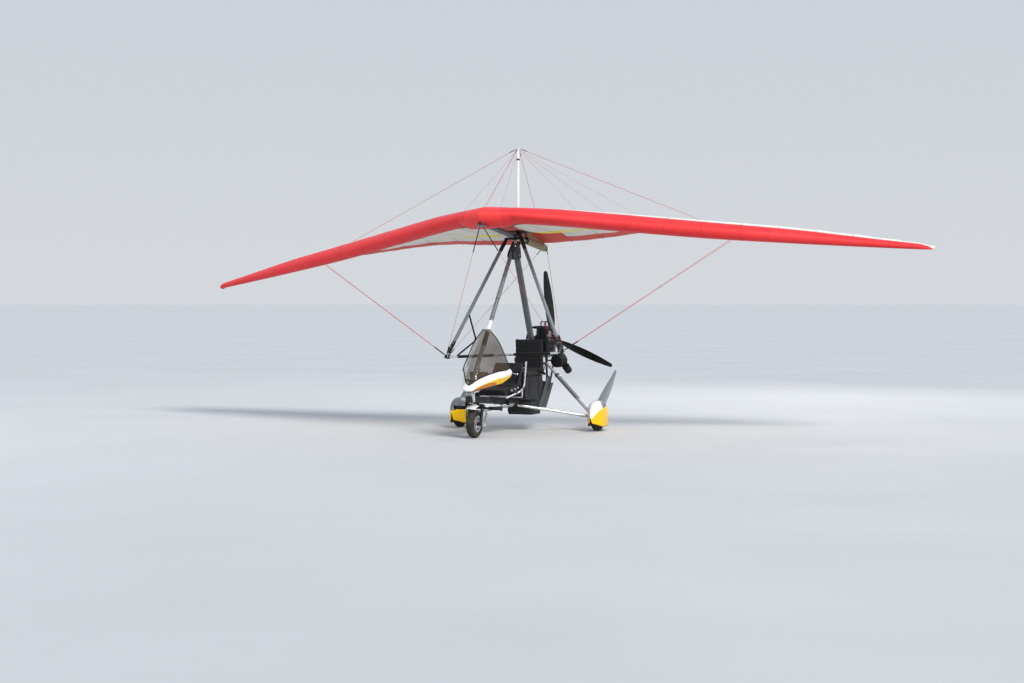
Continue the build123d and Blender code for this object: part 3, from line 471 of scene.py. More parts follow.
def clothFinish(name, color, rough, seams=None, threads=2600.0, paintedGlow=0.0, crease=0.25, **plain):
    # sailcloth and webbing: weave, stitched seams, soft creases and a little stain; paintedGlow is emission
    # in the cloth's own colour, a painted glow standing in for sun shining through the cloth
    m, t, shader = startMaterial(name, {"Sheen Weight": 0.12, "Sheen Roughness": 0.5, **plain})
    tone = useGroup(t, "mottle", {"Color": opaque(color), "Scale": 2.2, "Depth": 0.07})
    final, seamHeight = tone["Color"], None
    if seams:
        sewn = useGroup(t, "seams", {"Color": final, "Spacing": seams[0], "Start": seams[1], "Dark": seams[2],
                                     "Half": seams[3]})
        final, seamHeight = sewn["Color"], sewn["Height"]
    t.links.new(final, shader.inputs["Base Color"])
    # painted glow: the cloth emits its own colour in place of light coming through it
    if paintedGlow:
        t.links.new(final, shader.inputs["Emission Color"])
        shader.inputs["Emission Strength"].default_value = paintedGlow
    t.links.new(mathNode(t, "MULTIPLY_ADD", tone["Mask"], 0.12, rough - 0.06), shader.inputs["Roughness"])
    weave = useGroup(t, "weave", {"Threads": threads})["Height"]
    bump = addNode(t, "ShaderNodeBump", {"Height": weave, "Strength": 0.06, "Distance": 0.0006})
    if seamHeight:
        bump = addNode(t, "ShaderNodeBump", {"Height": seamHeight, "Normal": bump.outputs[0], "Strength": 0.5,
                                             "Distance": 0.0012})
    soft = addNode(t, "ShaderNodeBump", {"Height": objectNoise(t, 5.5, 2.0), "Normal": bump.outputs[0],
                                         "Strength": crease, "Distance": 0.03})
    t.links.new(soft.outputs[0], shader.inputs["Normal"])
    return m


def gelcoat(name, color, rough, depth, bare, wear, dust, coat=(0.5, 0.08)):
    # glossy fairing paint; depth is that of its changes of tone
    return hardFinish(name, color, rough, 0.0, (4.0, depth), bare, wear, dust=dust, grain=(90.0, 0.02),
                      **{"Coat Weight": coat[0], "Coat Roughness": coat[1]})


def screenFinish(name, color, alpha):
    # brown tinted sheet, a little denser where it is dusty
    m, t, shader = startMaterial(name, {"IOR": 1.5, "Coat Weight": 0.6, "Coat Roughness": 0.04})
    tone = useGroup(t, "mottle", {"Color": opaque(color), "Scale": 3.0, "Depth": 0.25})
    t.links.new(tone["Color"], shader.inputs["Base Color"])
    t.links.new(spread(t, tone["Mask"], 0.0, 1.0, alpha, alpha + 0.12), shader.inputs["Alpha"])
    t.links.new(spread(t, tone["Mask"], 0.0, 1.0, 0.05, 0.12), shader.inputs["Roughness"])
    return m


def splitFinish(name, first, *layers):
    # finishes on one mesh told apart by place; a layer is (finish, test) and test(tree, xyz) gives its mask
    m, t, shader = startMaterial(name, {})
    place = addNode(t, "ShaderNodeTexCoord").outputs["Object"]
    xyz = addNode(t, "ShaderNodeSeparateXYZ", {0: place}).outputs
    color, rough, metal = opaque(first["color"]), first["rough"], first["metal"]
    for finish, test in layers:
        mask = test(t, xyz)
        color = mixNode(t, mask, color, opaque(finish["color"]))
        rough = blend(t, mask, rough, finish["rough"])
        if finish["metal"] != first["metal"]:
            metal = blend(t, mask, metal, finish["metal"])
    dressShader(t, shader, color, (9.0, 0.12), (0.55, 0.55, 0.56, 1), 0.3, 0.08, (500.0, 0.1))
    feed(t, shader.inputs["Roughness"], rough)
    feed(t, shader.inputs["Metallic"], metal)
    return m


def above(level, axis=2):
    # a layer's test: beyond a level along one axis
    return lambda t, xyz: mathNode(t, "GREATER_THAN", xyz[axis], level)


def below(level):
    return lambda t, xyz: mathNode(t, "LESS_THAN", xyz[2], level)


def outside(level):
    # a layer's test: further than a level from the middle plane
    return lambda t, xyz: mathNode(t, "GREATER_THAN", mathNode(t, "ABSOLUTE", xyz[0]), level)


tubeGrey = {"color": (0.215, 0.225, 0.24), "rough": 0.42, "metal": 0.3}
tubeBright = {"color": (0.74, 0.75, 0.77), "rough": 0.27, "metal": 0.7}
fittingBlack = {"color": (0.012, 0.012, 0.013), "rough": 0.45, "metal": 0.1}
cheekGrey = {"color": (0.21, 0.235, 0.255), "rough": 0.5, "metal": 0.2}
cheekDark = {"color": (0.085, 0.095, 0.1), "rough": 0.5, "metal": 0.2}
paint = {"white": (0.82, 0.81, 0.78), "yellow": (0.93, 0.57, 0.003), "grey": (0.17, 0.19, 0.215)}

mat = {
    # structure
    "tube": hardFinish("anodisedTube", (0.17, 0.18, 0.19), 0.4, 0.35, grain=(900.0, 0.05), dust=0.1),
    "brightTube": hardFinish("polishedTube", (0.74, 0.75, 0.77), 0.27, 0.7, grain=(900.0, 0.03), dust=0.05),
    "darkTube": hardFinish("blackTube", (0.012, 0.012, 0.013), 0.42, 0.1, bare=(0.2, 0.2, 0.21), dust=0.06),
    "steel": hardFinish("zincSteel", (0.55, 0.54, 0.5), 0.3, 0.95, wear=0.2, grain=(700.0, 0.06)),
    "plate": hardFinish("greyPlate", (0.23, 0.24, 0.245), 0.45, 0.5, dust=0.15),
    # skins
    "white": gelcoat("whiteGelcoat", paint["white"], 0.22, 0.06, (0.6, 0.58, 0.54), 0.2, 0.12),
    "yellow": gelcoat("yellowGelcoat", paint["yellow"], 0.24, 0.08, (0.6, 0.45, 0.2), 0.2, 0.05),
    "grey": gelcoat("greyGelcoat", paint["grey"], 0.26, 0.08, (0.45, 0.45, 0.45), 0.25, 0.12, (0.4, 0.1)),
    # the pod's yellow darkened, a painted shade for where the pod turns under
    "paintedShadeYellow": gelcoat("yellowGelcoatInPaintedShade", (0.6, 0.21, 0.004), 0.26, 0.08, (0.5, 0.35, 0.2), 0.2, 0.06),
    "shade": hardFinish("innerGelcoat", (0.035, 0.035, 0.038), 0.6, dust=0.1),
    "screen": screenFinish("smokedScreen", (0.1, 0.066, 0.038), 0.4),
    "beige": hardFinish("beigePanel", (0.46, 0.39, 0.27), 0.5, dust=0.15),
    # soft and moulded
    "plastic": hardFinish("blackPlastic", (0.01, 0.01, 0.011), 0.5, bare=(0.05, 0.05, 0.053), dust=0.07,
                          grain=(600.0, 0.3)),
    "tank": hardFinish("smokedTank", (0.016, 0.016, 0.018), 0.5, bare=(0.06, 0.06, 0.06), dust=0.06),
    "rubber": hardFinish("softRubber", (0.014, 0.013, 0.013), 0.68, bare=(0.04, 0.04, 0.038), dust=0.08,
                         grain=(350.0, 0.3)),
    "tyre": hardFinish("tyreRubber", (0.03, 0.03, 0.03), 0.78, 0.0, (16.0, 0.3), (0.09, 0.088, 0.08), 0.6,
                       dust=0.22, grain=(300.0, 0.4)),
    "foam": hardFinish("gripFoam", (0.01, 0.01, 0.011), 0.85, wear=0.0, dust=0.05, grain=(260.0, 0.8)),
    # machinery
    "rim": hardFinish("castRim", (0.72, 0.73, 0.75), 0.3, 0.75, grain=(260.0, 0.12), dust=0.1),
    "engine": hardFinish("castEngine", (0.035, 0.035, 0.038), 0.5, 0.4, bare=(0.3, 0.3, 0.31), wear=0.6,
                         dust=0.12, grain=(220.0, 0.5)),
    "alloy": hardFinish("bareCasting", (0.42, 0.42, 0.43), 0.45, 0.85, grain=(240.0, 0.4), dust=0.15),
    "exhaust": hardFinish("heatedSteel", (0.16, 0.12, 0.095), 0.55, 0.7, (12.0, 0.5), (0.35, 0.25, 0.18), 0.5,
                          dust=0.1),
    "blade": hardFinish("bladeComposite", (0.014, 0.014, 0.016), 0.28, bare=(0.2, 0.2, 0.2), wear=0.35,
                        grain=(120.0, 0.04), **{"Coat Weight": 0.5, "Coat Roughness": 0.12}),
    "redWire": hardFinish("redSleevedWire", (0.6, 0.05, 0.03), 0.45, wear=0.1, dust=0.1),
    "whitePart": hardFinish("whiteMoulding", (0.78, 0.77, 0.73), 0.4, dust=0.2),
    # cloth; the paintedGlow values are painted light, emission standing in for sun through the sail
    "leadRed": clothFinish("leadingEdgeRed", (0.74, 0.036, 0.04), 0.62, (0.405, 0.36, 0.1, 0.009), paintedGlow=0.05,
                          crease=0.5),
    "noseRed": clothFinish("noseCoverRed", (0.8, 0.048, 0.048), 0.6, paintedGlow=0.06, crease=0.5),
    "cream": clothFinish("mainCloth", (0.8, 0.775, 0.7), 0.62, (0.405, 0.36, 0.3, 0.013), crease=0.35),
    "under": clothFinish("lowerCloth", (0.76, 0.735, 0.655), 0.62, (0.31, 0.12, 0.62, 0.007), crease=0.35,
                         paintedGlow=0.04),
    "yellowCloth": clothFinish("stripYellow", (0.8, 0.66, 0.03), 0.6, (0.31, 0.12, 0.4, 0.007), paintedGlow=0.1),
    "rootRed": clothFinish("rootRed", (0.6, 0.055, 0.03), 0.6, (0.405, 0.36, 0.35, 0.01), paintedGlow=0.1),
    "olive": clothFinish("pocketOlive", (0.34, 0.295, 0.18), 0.7, crease=0.5),
    "tape": clothFinish("edgeTape", (0.03, 0.03, 0.03), 0.7, crease=0.2),
    "webbing": clothFinish("seatWebbing", (0.012, 0.012, 0.013), 0.75, threads=1800.0, crease=0.2),
    "seat": clothFinish("seatCloth", (0.013, 0.013, 0.015), 0.8, threads=2400.0, crease=0.3,
                        **{"Sheen Weight": 0.08}),
    # tubes and radiator with parts of another finish; the strut's bright lower part is painted sunlight
    "upright": splitFinish("uprightTube", tubeGrey, (fittingBlack, above(2.285))),
    # grey strut tube, painted bright below 1.1 m where sun falls under the wing's shadow
    "strut": splitFinish("strutTubePaintedSunlight", tubeGrey, (tubeBright, below(1.1))),
    "gearArm": splitFinish("gearTube", tubeGrey, (tubeBright, below(0.395)), (tubeBright, above(0.66))),
    "radiator": splitFinish("radiatorParts", fittingBlack, (cheekGrey, outside(0.1811)),
                            (cheekDark, outside(0.1888))),
    "floor": hardFinish("paleFloor", (0.62, 0.62, 0.61), 0.75, 0.0, (0.4, 0.05), wear=0.0, dust=0.0,
                        grain=(60.0, 0.05)),
}
white, yellow, grey = ({"color": c, "rough": 0.24, "metal": 0.0} for c in paint.values())


def curveMask(tree, xyz, low, high, start, reach):
    # 1 below a curve that climbs from low at y = start and levels out at high within a few reaches
    y = mathNode(tree, "DIVIDE", mathNode(tree, "SUBTRACT", start, xyz[1]), reach)
    fall = mathNode(tree, "EXPONENT", mathNode(tree, "MINIMUM", y, 0.0))
    fall = mathNode(tree, "MULTIPLY", fall, high - low)
    return mathNode(tree, "LESS_THAN", xyz[2], mathNode(tree, "SUBTRACT", high, fall))


# the white front of the left spat's top is a painted highlight, sun on its grey top; the right spat stays
# grey there
mat["leftSpat"] = splitFinish(
    "leftSpatPaintAndHighlight", white, (grey, above(axleY - 0.06, 1)),
    (yellow, lambda t, xyz: curveMask(t, xyz, 0.162, 0.305, axleY - 0.25, 0.105)))
mat["rightSpat"] = splitFinish(
    "rightSpatPaint", grey, (yellow, lambda t, xyz: curveMask(t, xyz, 0.225, 0.285, axleY - 0.25, 0.15)))
print("materials made:", len(mat))


# sail, worked out in the wing's frame
sailShape = {
    "noseY": -1.194, "noseZ": 0.096, "tipY": 1.025, "tipZ": -0.251, "halfSpan": 4.857,
    "kneeShare": 0.11, "crestShare": 0.2, "skin": 0.0012,
    # station, trailing edge y, trailing edge z, rise, depth, lower skin's end, its drop there
    "stations": [
        (0.0, 0.936, 0.066, 0.14, 0.138, 0.21, 0.006), (0.25, 0.958, 0.071, 0.15, 0.096, 0.22, 0.006),
        (0.33, 0.972, 0.074, 0.154, 0.052, 0.66, 0.09), (0.7, 1.005, 0.092, 0.166, 0.056, 0.66, 0.06),
        (1.4, 1.075, 0.15, 0.146, 0.078, 0.67, 0.036), (2.4, 1.18, 0.118, 0.12, 0.096, 0.68, 0.022),
        (3.4, 1.3, 0.05, 0.098, 0.084, 0.7, 0.016), (4.3, 1.44, -0.06, 0.052, 0.058, 0.74, 0.009),
        (4.857, 1.56, -0.17, 0.032, 0.034, 0.8, 0.006)],
    "firstBatten": 0.36, "battenStep": 0.405, "battens": 11, "billow": 0.007, "scallop": 0.014,
    "battenHalf": 0.016, "battenWidth": 0.011, "battenRise": 0.0025, "scallopFrom": 0.85, "tipRound": 0.16,
    # lower skin: inboard end and its rounding, outboard end, (start, step) of its seams, sag, (width, reach)
    # of the yellow strip
    "inner": 0.17, "innerRound": 0.32, "lowerEnd": 4.8, "rib": (0.12, 0.31), "sag": 0.006,
    "strip": (0.36, 2.1),
    # how far the ends of the edges curl in at the tip, and the power of the upper skin's fall
    "tipCurl": (0.22, 0.1), "fallPower": 1.4,
    # colours: the red nose ends at a share of the chord; root patch and hem as (from share, to span place)
    "redNose": 0.1, "rootPatch": (0.46, 0.385), "hem": (0.885, 4.3),
    "coverHalf": 0.23, "coverProud": 0.0026,
}


def smoothColumn(stations, values, x):
    # cubic through the stations, its slope at each the mean of the slopes beside it
    s, v = np.asarray(stations), np.asarray(values)
    slope = np.gradient(v, s)
    i = np.clip(np.searchsorted(s, x) - 1, 0, len(s) - 2)
    h = s[i + 1] - s[i]
    t = (x - s[i]) / h
    return ((1 + 2 * t) * (1 - t) ** 2 * v[i] + t * (1 - t) ** 2 * h * slope[i]
            + t * t * (3 - 2 * t) * v[i + 1] + t * t * (t - 1) * h * slope[i + 1])


def sailStations(x):
    # what the section needs at each span place
    s, a = sailShape, np.abs(x)
    table = np.array(s["stations"])
    teY, teZ, rise, depth = (smoothColumn(table[:, 0], table[:, k], a) for k in range(1, 5))
    outer = table[2:]
    join, drop = (smoothColumn(outer[:, 0], outer[:, k], np.maximum(a, outer[0, 0])) for k in (5, 6))
    depth = np.where(a < 0.7, np.interp(a, table[:, 0], table[:, 4]), depth)
    share = a / s["halfSpan"]
    leY, leZ = s["noseY"] + share * (s["tipY"] - s["noseY"]), s["noseZ"] + share * (s["tipZ"] - s["noseZ"])
    over = np.clip((a - s["halfSpan"] + s["tipRound"]) / s["tipRound"], 0, 1)
    full = np.sqrt(np.clip(1 - over ** 2, 0.0004, 1))
    leY = leY + (1 - full) * s["tipCurl"][0]
    teY = teY - (1 - full) * s["tipCurl"][1]
    rise, depth = rise * full, depth * full
    return {"leY": leY, "leZ": leZ, "teY": teY, "teZ": teZ, "rise": rise, "depth": depth,
            "noseW": (rise - depth) * 0.25, "join": join, "drop": drop}


def topRise(u, rise, depth):
    # height of the upper skin over the chord: quarter ellipse to the crest, then a falling curve
    crest, noseW = sailShape["crestShare"], (rise - depth) * 0.25
    front = noseW + (rise - noseW) * np.sqrt(np.clip(1 - (1 - np.clip(u, 0, crest) / crest) ** 2, 0, 1))
    back = rise * (1 - (np.clip(u - crest, 0, 1) / (1 - crest)) ** sailShape["fallPower"])
    return np.where(u < crest, front, back)


def battenPlaces():
    s = sailShape
    return [s["firstBatten"] + s["battenStep"] * k for k in range(s["battens"])]


def bayShare(x):
    # share of the way from one batten to the next, and 0 on a batten
    s = sailShape
    return np.mod((np.abs(x) - s["firstBatten"]) / s["battenStep"], 1.0)


def sailPoint(x, u, w, st):
    # point at share u of the chord, w above it
    y, z = (st[a] + u * (st[b] - st[a]) for a, b in (("leY", "teY"), ("leZ", "teZ")))
    return np.stack([x, y, z + w], axis=-1)


def noseRows(x, st, low, high):
    # rows from the knee under the nose, then over it to the crest, and the share of the chord of each
    s, rows, shares = sailShape, [], []
    for a in low:
        u = s["kneeShare"] * (1 - math.sin(a))
        rows.append(sailPoint(x, u, st["noseW"] - (st["noseW"] + st["depth"]) * math.cos(a), st))
        shares.append(-u)
    for a in high:
        u = s["crestShare"] * (1 - math.cos(a))
        rows.append(sailPoint(x, u, st["noseW"] + (st["rise"] - st["noseW"]) * math.sin(a), st))
        shares.append(u)
    return rows, shares


def upperSkin():
    # from the knee under the nose, round the nose and over the top to the trailing edge; battens every bay
    s = sailShape
    stops, wide = battenPlaces(), s["battenHalf"]
    offsets = np.array([-wide, -wide / 2, 0.0, wide / 2, wide])
    inBay = np.linspace(wide, s["battenStep"] - wide, 9)[1:-1]
    half = np.concatenate([np.linspace(0, s["firstBatten"] - wide, 12)[:-1]]
                          + [np.concatenate([b + offsets, b + inBay]) for b in stops[:-1]]
                          + [stops[-1] + offsets, np.linspace(stops[-1] + wide, 4.7, 6)[1:-1],
                             s["halfSpan"] - s["tipRound"] * (1 - np.sin(np.linspace(0, 1, 12) * np.pi / 2))])
    x = np.concatenate([-half[:0:-1], half])
    st = sailStations(x)
    rows, shares = noseRows(x, st, np.linspace(0, np.pi / 2, 11), np.linspace(0, np.pi / 2, 15)[1:])
    bay = np.sin(np.pi * bayShare(x)) ** 2
    fromBatten = np.minimum(bayShare(x), 1 - bayShare(x)) * s["battenStep"]
    onBatten = s["battenRise"] * np.exp(-(fromBatten / s["battenWidth"]) ** 2)
    for u in np.linspace(s["crestShare"], 1, 44)[1:]:
        fade = min(1.0, (u - s["crestShare"]) / 0.25)
        lift = topRise(u, st["rise"], st["depth"]) - s["billow"] * bay * fade + onBatten * fade
        p = sailPoint(x, u, lift, st)
        p[:, 1] -= max(0.0, (u - s["scallopFrom"]) / (1 - s["scallopFrom"])) * s["scallop"] * bay
        rows.append(p)
        shares.append(u)
    pts = np.stack(rows)
    step = np.linalg.norm(np.diff(pts, axis=0), axis=-1)
    distance = np.vstack([np.zeros(len(x)), np.cumsum(step, axis=0)])
    uv = np.stack([np.broadcast_to(x, distance.shape), distance], axis=-1)
    return x, np.array(shares), pts, uv


def upperColours(x, shares):
    # slot of each face: 0 leading edge red, 1 cream, 2 root and trailing edge red
    u, a = np.meshgrid((shares[:-1] + shares[1:]) / 2, np.abs((x[:-1] + x[1:]) / 2), indexing="ij")
    slots = np.ones(u.shape, int)
    slots[u < sailShape["redNose"]] = 0
    for start, end in (sailShape["rootPatch"], sailShape["hem"]):
        slots[(u > start) & (a < end)] = 2
    return slots


def makeSkin(name, points, finishes, slotName, restsOn, stands=(), **grid):
    # a stretched cloth skin of the wing, given its thickness inwards
    world = onWing(points)
    materials = [mat[k] for k in finishes]
    skin = makePiece(name, [gridPatch(world, **grid)], materials, "wing", stands, slotName, angle=70)
    finishWith(skin, "SOLIDIFY", thickness=sailShape["skin"], offset=-1.0)


def makeSail():
    s = sailShape
    x, shares, pts, uv = upperSkin()
    makeSkin("sail_upper", pts, ("leadRed", "cream", "rootRed"), "sail_cloth", ["kingpost", "cross_bar"],
             ("sail",), slot=upperColours(x, shares), uv=uv, flip=True)
    for side, label in ((1, "port"), (-1, "starboard")):
        # lower skin: straight from the knee to its rear edge, inboard end rounded, a yellow strip at the rear
        t, v = np.meshgrid(np.linspace(0, 1, 25), np.linspace(0, 1, 170), indexing="ij")
        inner = s["inner"] + s["innerRound"] * np.abs(2 * t - 1) ** 3.2
        a = inner + (s["lowerEnd"] - inner) * v
        st = sailStations(a)
        st["depth"] = np.where(a < 0.33, s["stations"][2][4], st["depth"])
        u = s["kneeShare"] + (st["join"] - s["kneeShare"]) * t
        endW = topRise(st["join"], st["rise"], st["depth"]) - 0.01 - st["drop"]
        first, step = s["rib"]
        sag = s["sag"] * np.sin(np.pi * np.mod((a - first) / step, 1.0)) ** 2 * np.sin(np.pi * t)
        w = -st["depth"] + (endW + st["depth"]) * t - sag + 0.002
        chord = (st["teY"] - st["leY"]) * (st["join"] - s["kneeShare"])
        wide, reach = s["strip"]
        strip = wide * np.clip(1 - a / reach, 0, 1)
        makeSkin(f"sail_lower_{label}", sailPoint(side * a, u, w, st), ("under", "yellowCloth"), "sail_cloth",
                 ["cross_bar", "sail_upper"], slot=np.where((1 - t) * chord < strip, 1, 0)[:-1, :-1],
                 uv=np.stack([a, t * chord], axis=-1), flip=side < 0)


makeSail()
print("sail made")


# wing fittings
wingFrame = {
    "barX": 0.739, "barY": -0.402, "barZ": -1.491, "apex": (0.092, -0.086, -0.02),
    "foot": (0.733, -0.399, -1.449),
    "keelR": 0.03, "postY": 0.05, "postTop": 1.106, "postR": 0.0175,
    "gripR": 0.0175, "gripEnd": 0.0145, "grip": (0.13, 0.6),
    "keelBolts": ((0.024, -1.135), (0.024, -1.07), (0.046, -1.1)),
    # rings on the kingpost as (height, radius) outlines
    "postBase": ((0.0, 0.0185), (0.001, 0.027), (0.012, 0.027), (0.016, 0.0215), (0.06, 0.0205),
                 (0.062, 0.0178)),
    "postCollar": ((0.0, 0.0182), (0.001, 0.0205), (0.02, 0.0205), (0.021, 0.0182)),
    # leading edge tubes: place along the span, distance behind the edge, radius
    "edgeTubes": ((0.055, 0.065, 0.027), (0.4, 0.07, 0.027), (1.0, 0.075, 0.026), (2.0, 0.068, 0.025),
                  (3.0, 0.062, 0.023), (4.0, 0.05, 0.019), (4.55, 0.044, 0.015)),
}
# keel pocket: its reach in y, bottom, heights above and below the tube, half width, and tape at the ends
pocketShape = {"reach": (0.3, 0.968), "bottom": -0.0415, "swell": (0.052, 0.0425), "half": 0.0365,
               "webHalf": 0.0045, "tapeWidth": 0.016, "tapeThick": 0.001}
battenShape = {
    # from the sail's rear edge: the batten's end as (y, z, radius), its cord's loop as points
    "end": ((-0.028, 0.0, 0.0062), (0.008, -0.001, 0.0062), (0.013, -0.002, 0.004)),
    "knot": ((0.004, 0.01, 0.004), (0.012, 0.012, -0.003), (0.01, -0.012, -0.008), (0.004, -0.055, -0.007)),
    "cordR": 0.0014, "luffR": 0.0011, "luffBattens": (1, 2, 3), "luffShare": 0.985,
    "eye": ((0, 0.001), (0.001, 0.006), (0.004, 0.006), (0.005, 0.001)),
}
wireShape = {
    # sleeves: stops along the wire from its end, and the radius at each
    "foot": ((0.02, 0.022, 0.12, 0.123), (0.003, 0.0058, 0.0052, 0.003)),
    "side": ((0.02, 0.022, 0.2, 0.203), (0.003, 0.0058, 0.0052, 0.003)),
    "nose": ((0.34, 0.335, 0.022, 0.02), (0.003, 0.0062, 0.0055, 0.003)),
    "rear": ((0.12, 0.118, 0.03, 0.028), (0.003, 0.0052, 0.0048, 0.003)),
    # where the lower wires start at the bar's corner, and where the upper wires end
    "noseEnd": (0.02, -1.11, -0.039), "rearEnd": (0.0325, 0.955, -0.004), "sideEnd": (2.778, 0.11, -0.12),
    "upper": ((0, -1.084, 0.116), (0, 0.978, 0.0325), (2.65, 0.12, -0.06), (-2.65, 0.12, -0.06)),
}


def onSkin(x, u, w=0.0):
    # one point at share u of the chord at a span place, w above it
    x = np.array([x])
    return sailPoint(x, u, w, sailStations(x))[0]


def makeNoseCover():
    # smooth cover a little proud of the sail's nose
    x = np.linspace(-sailShape["coverHalf"], sailShape["coverHalf"], 47)
    low, high = np.radians(np.linspace(8, 90, 14)), np.radians(np.linspace(0, 72, 14)[1:])
    pts = np.stack(noseRows(x, sailStations(x), low, high)[0])
    out = unit(np.cross(np.gradient(pts, axis=1), np.gradient(pts, axis=0)))
    uv = np.stack([np.broadcast_to(x, pts.shape[:2]), pts[..., 2]], axis=-1)
    makeSkin("nose_cover", pts + out * sailShape["coverProud"], ("noseRed",), "sail_cloth", ["sail_upper"],
             uv=uv, flip=True)


def makePocket():
    # sewn sleeve round the aft keel: a narrow web from the sail that swells round the tube
    s = pocketShape
    y = np.linspace(*s["reach"], 60)
    st = sailStations(np.zeros(1))
    u = (y - st["leY"][0]) / (st["teY"][0] - st["leY"][0])
    top = st["leZ"][0] + u * (st["teZ"][0] - st["leZ"][0]) + topRise(u, st["rise"][0], st["depth"][0]) - 0.004
    end = np.clip(np.minimum(y - y[0], (y[-1] - y) * 0.6) / 0.03, 0, 1) ** 0.5
    low = s["bottom"] + 0.004 * (1 - end) + 0.0015 * np.sin(y * 31)
    across = []
    for share in np.linspace(0, 1, 26):
        z = top + (low - top) * share
        ball = np.sqrt(np.clip(1 - (z / np.where(z > 0, *s["swell"])) ** 2, 0, 1))
        half = np.maximum(s["webHalf"], s["half"] * ball * (1 - 0.02 * np.sin(y * 43)))
        across.append(np.stack([np.where(share < 1, half, 0.0), y, z], axis=-1))
    left = np.stack(across)
    ring = np.concatenate([left, (left * [-1, 1, 1])[::-1][1:]])
    uv = np.stack([np.broadcast_to(y, ring.shape[:2]), ring[..., 2]], axis=-1)
    makeSkin("pocket_cloth", ring, ("olive",), "pocket_cloth", ["keel_tube", "sail_upper"], ("keel_pocket",),
             uv=uv)
    tapes = []
    for k in (0, -1):
        edge = ring[:, k] * np.array([1.03, 1, 1.0])
        wide = s["tapeWidth"] if k == 0 else -s["tapeWidth"]
        band = np.stack([edge + np.array([0, wide * t, 0]) for t in (-0.1, 0.5, 1.0)], axis=1)
        side = np.sign(band[..., :1]) * np.array([0.0016, 0, 0]) + np.array([0, 0, -0.0008])
        tapes.append(gridPatch(onWing(band + side), flip=k == -1))
    tape = makePiece("pocket_tape", tapes, mat["tape"], "wing", angle=70)
    finishWith(tape, "SOLIDIFY", thickness=s["tapeThick"], offset=0.0)


def makeBattens():
    # white batten ends with their cords, and the luff lines from the kingpost
    w, b = wingFrame, battenShape
    tips, cords, luff = [], [], []
    head = np.array([0, w["postY"], w["postTop"] + 0.004])
    ends = np.array(b["end"])
    for side in (1, -1):
        for k, x in enumerate(battenPlaces()):
            tail = onSkin(side * x, 1.0) - [0, 0.006, 0]
            tips += tubePatches(onWing([tail + [0, y, z] for y, z in ends[:, :2]]), ends[:, 2], 10)
            cords += tubePatches(onWing(smoothPath(tail + np.array(b["knot"]), 5)), b["cordR"], 6)
            if k in b["luffBattens"]:
                foot = onSkin(side * x, b["luffShare"], 0.003)
                luff += tubePatches(onWing([head, foot]), b["luffR"], 6)
                luff += lathePatches(b["eye"], onWing(foot), wingWay([0, 0, 1]), 12)
    makePieces("wing", ("batten_ends", tips, "whitePart"), ("batten_cords", cords, "tape"))
    makePiece("luff_lines", luff, mat["redWire"], "wing", slotName="wire_red")


def wireEnds():
    # the ends of the lower wires, as the CAD has them: (end at the bar's corner, other end, kind)
    w, ends = wingFrame, wireShape
    pairs = []
    for side in (-1, 1):
        corner = np.array([side * w["barX"], w["barY"], w["barZ"] + 0.012])
        nose, rear, far = (np.array(ends[k]) * [side, 1, 1] for k in ("noseEnd", "rearEnd", "sideEnd"))
        pairs.append((corner + [0, -0.0293, 0.008], nose, "nose"))
        pairs.append((corner + [0, 0.0293, 0.008], rear, "rear"))
        for k in (-1, 1):
            pairs.append((corner + [side * 0.0303, 0.006 * k, 0.012], far + [0, 0.03 * k, 0], "side"))
    return pairs


def makeWireFittings():
    # tangs, thimbles and pressed sleeves at the ends of the wires
    w, shape = wingFrame, wireShape
    dark, bright = [], []
    for foot, head, kind in wireEnds():
        d, long = unit(head - foot), np.linalg.norm(head - foot)
        dark += sleevePatches(foot, d, *shape["side" if kind == "side" else "foot"], 10)
        bright += sleevePatches(foot, d, (0.001, 0.026), 0.0048, 10)
        if kind == "side":
            bright += sleevePatches(foot, d, (0.55 * long, 0.55 * long + 0.03), 0.0042, 8)
        else:
            dark += sleevePatches(head, -d, *shape[kind], 10)
    head = np.array([0, w["postY"], w["postTop"] + 0.007])
    for end in shape["upper"]:
        d = unit(end - head)
        start = head + unit(d * [1, 1, 0]) * (w["postR"] + 0.008)
        bright += sleevePatches(start, d, (0, 0.034), 0.0045, 10)
        dark += sleevePatches(start, d, (0.034, 0.1), (0.0048, 0.004), 10)
    makePieces("wing", ("wire_sleeves", dark, "plastic"), ("wire_thimbles", bright, "steel"))


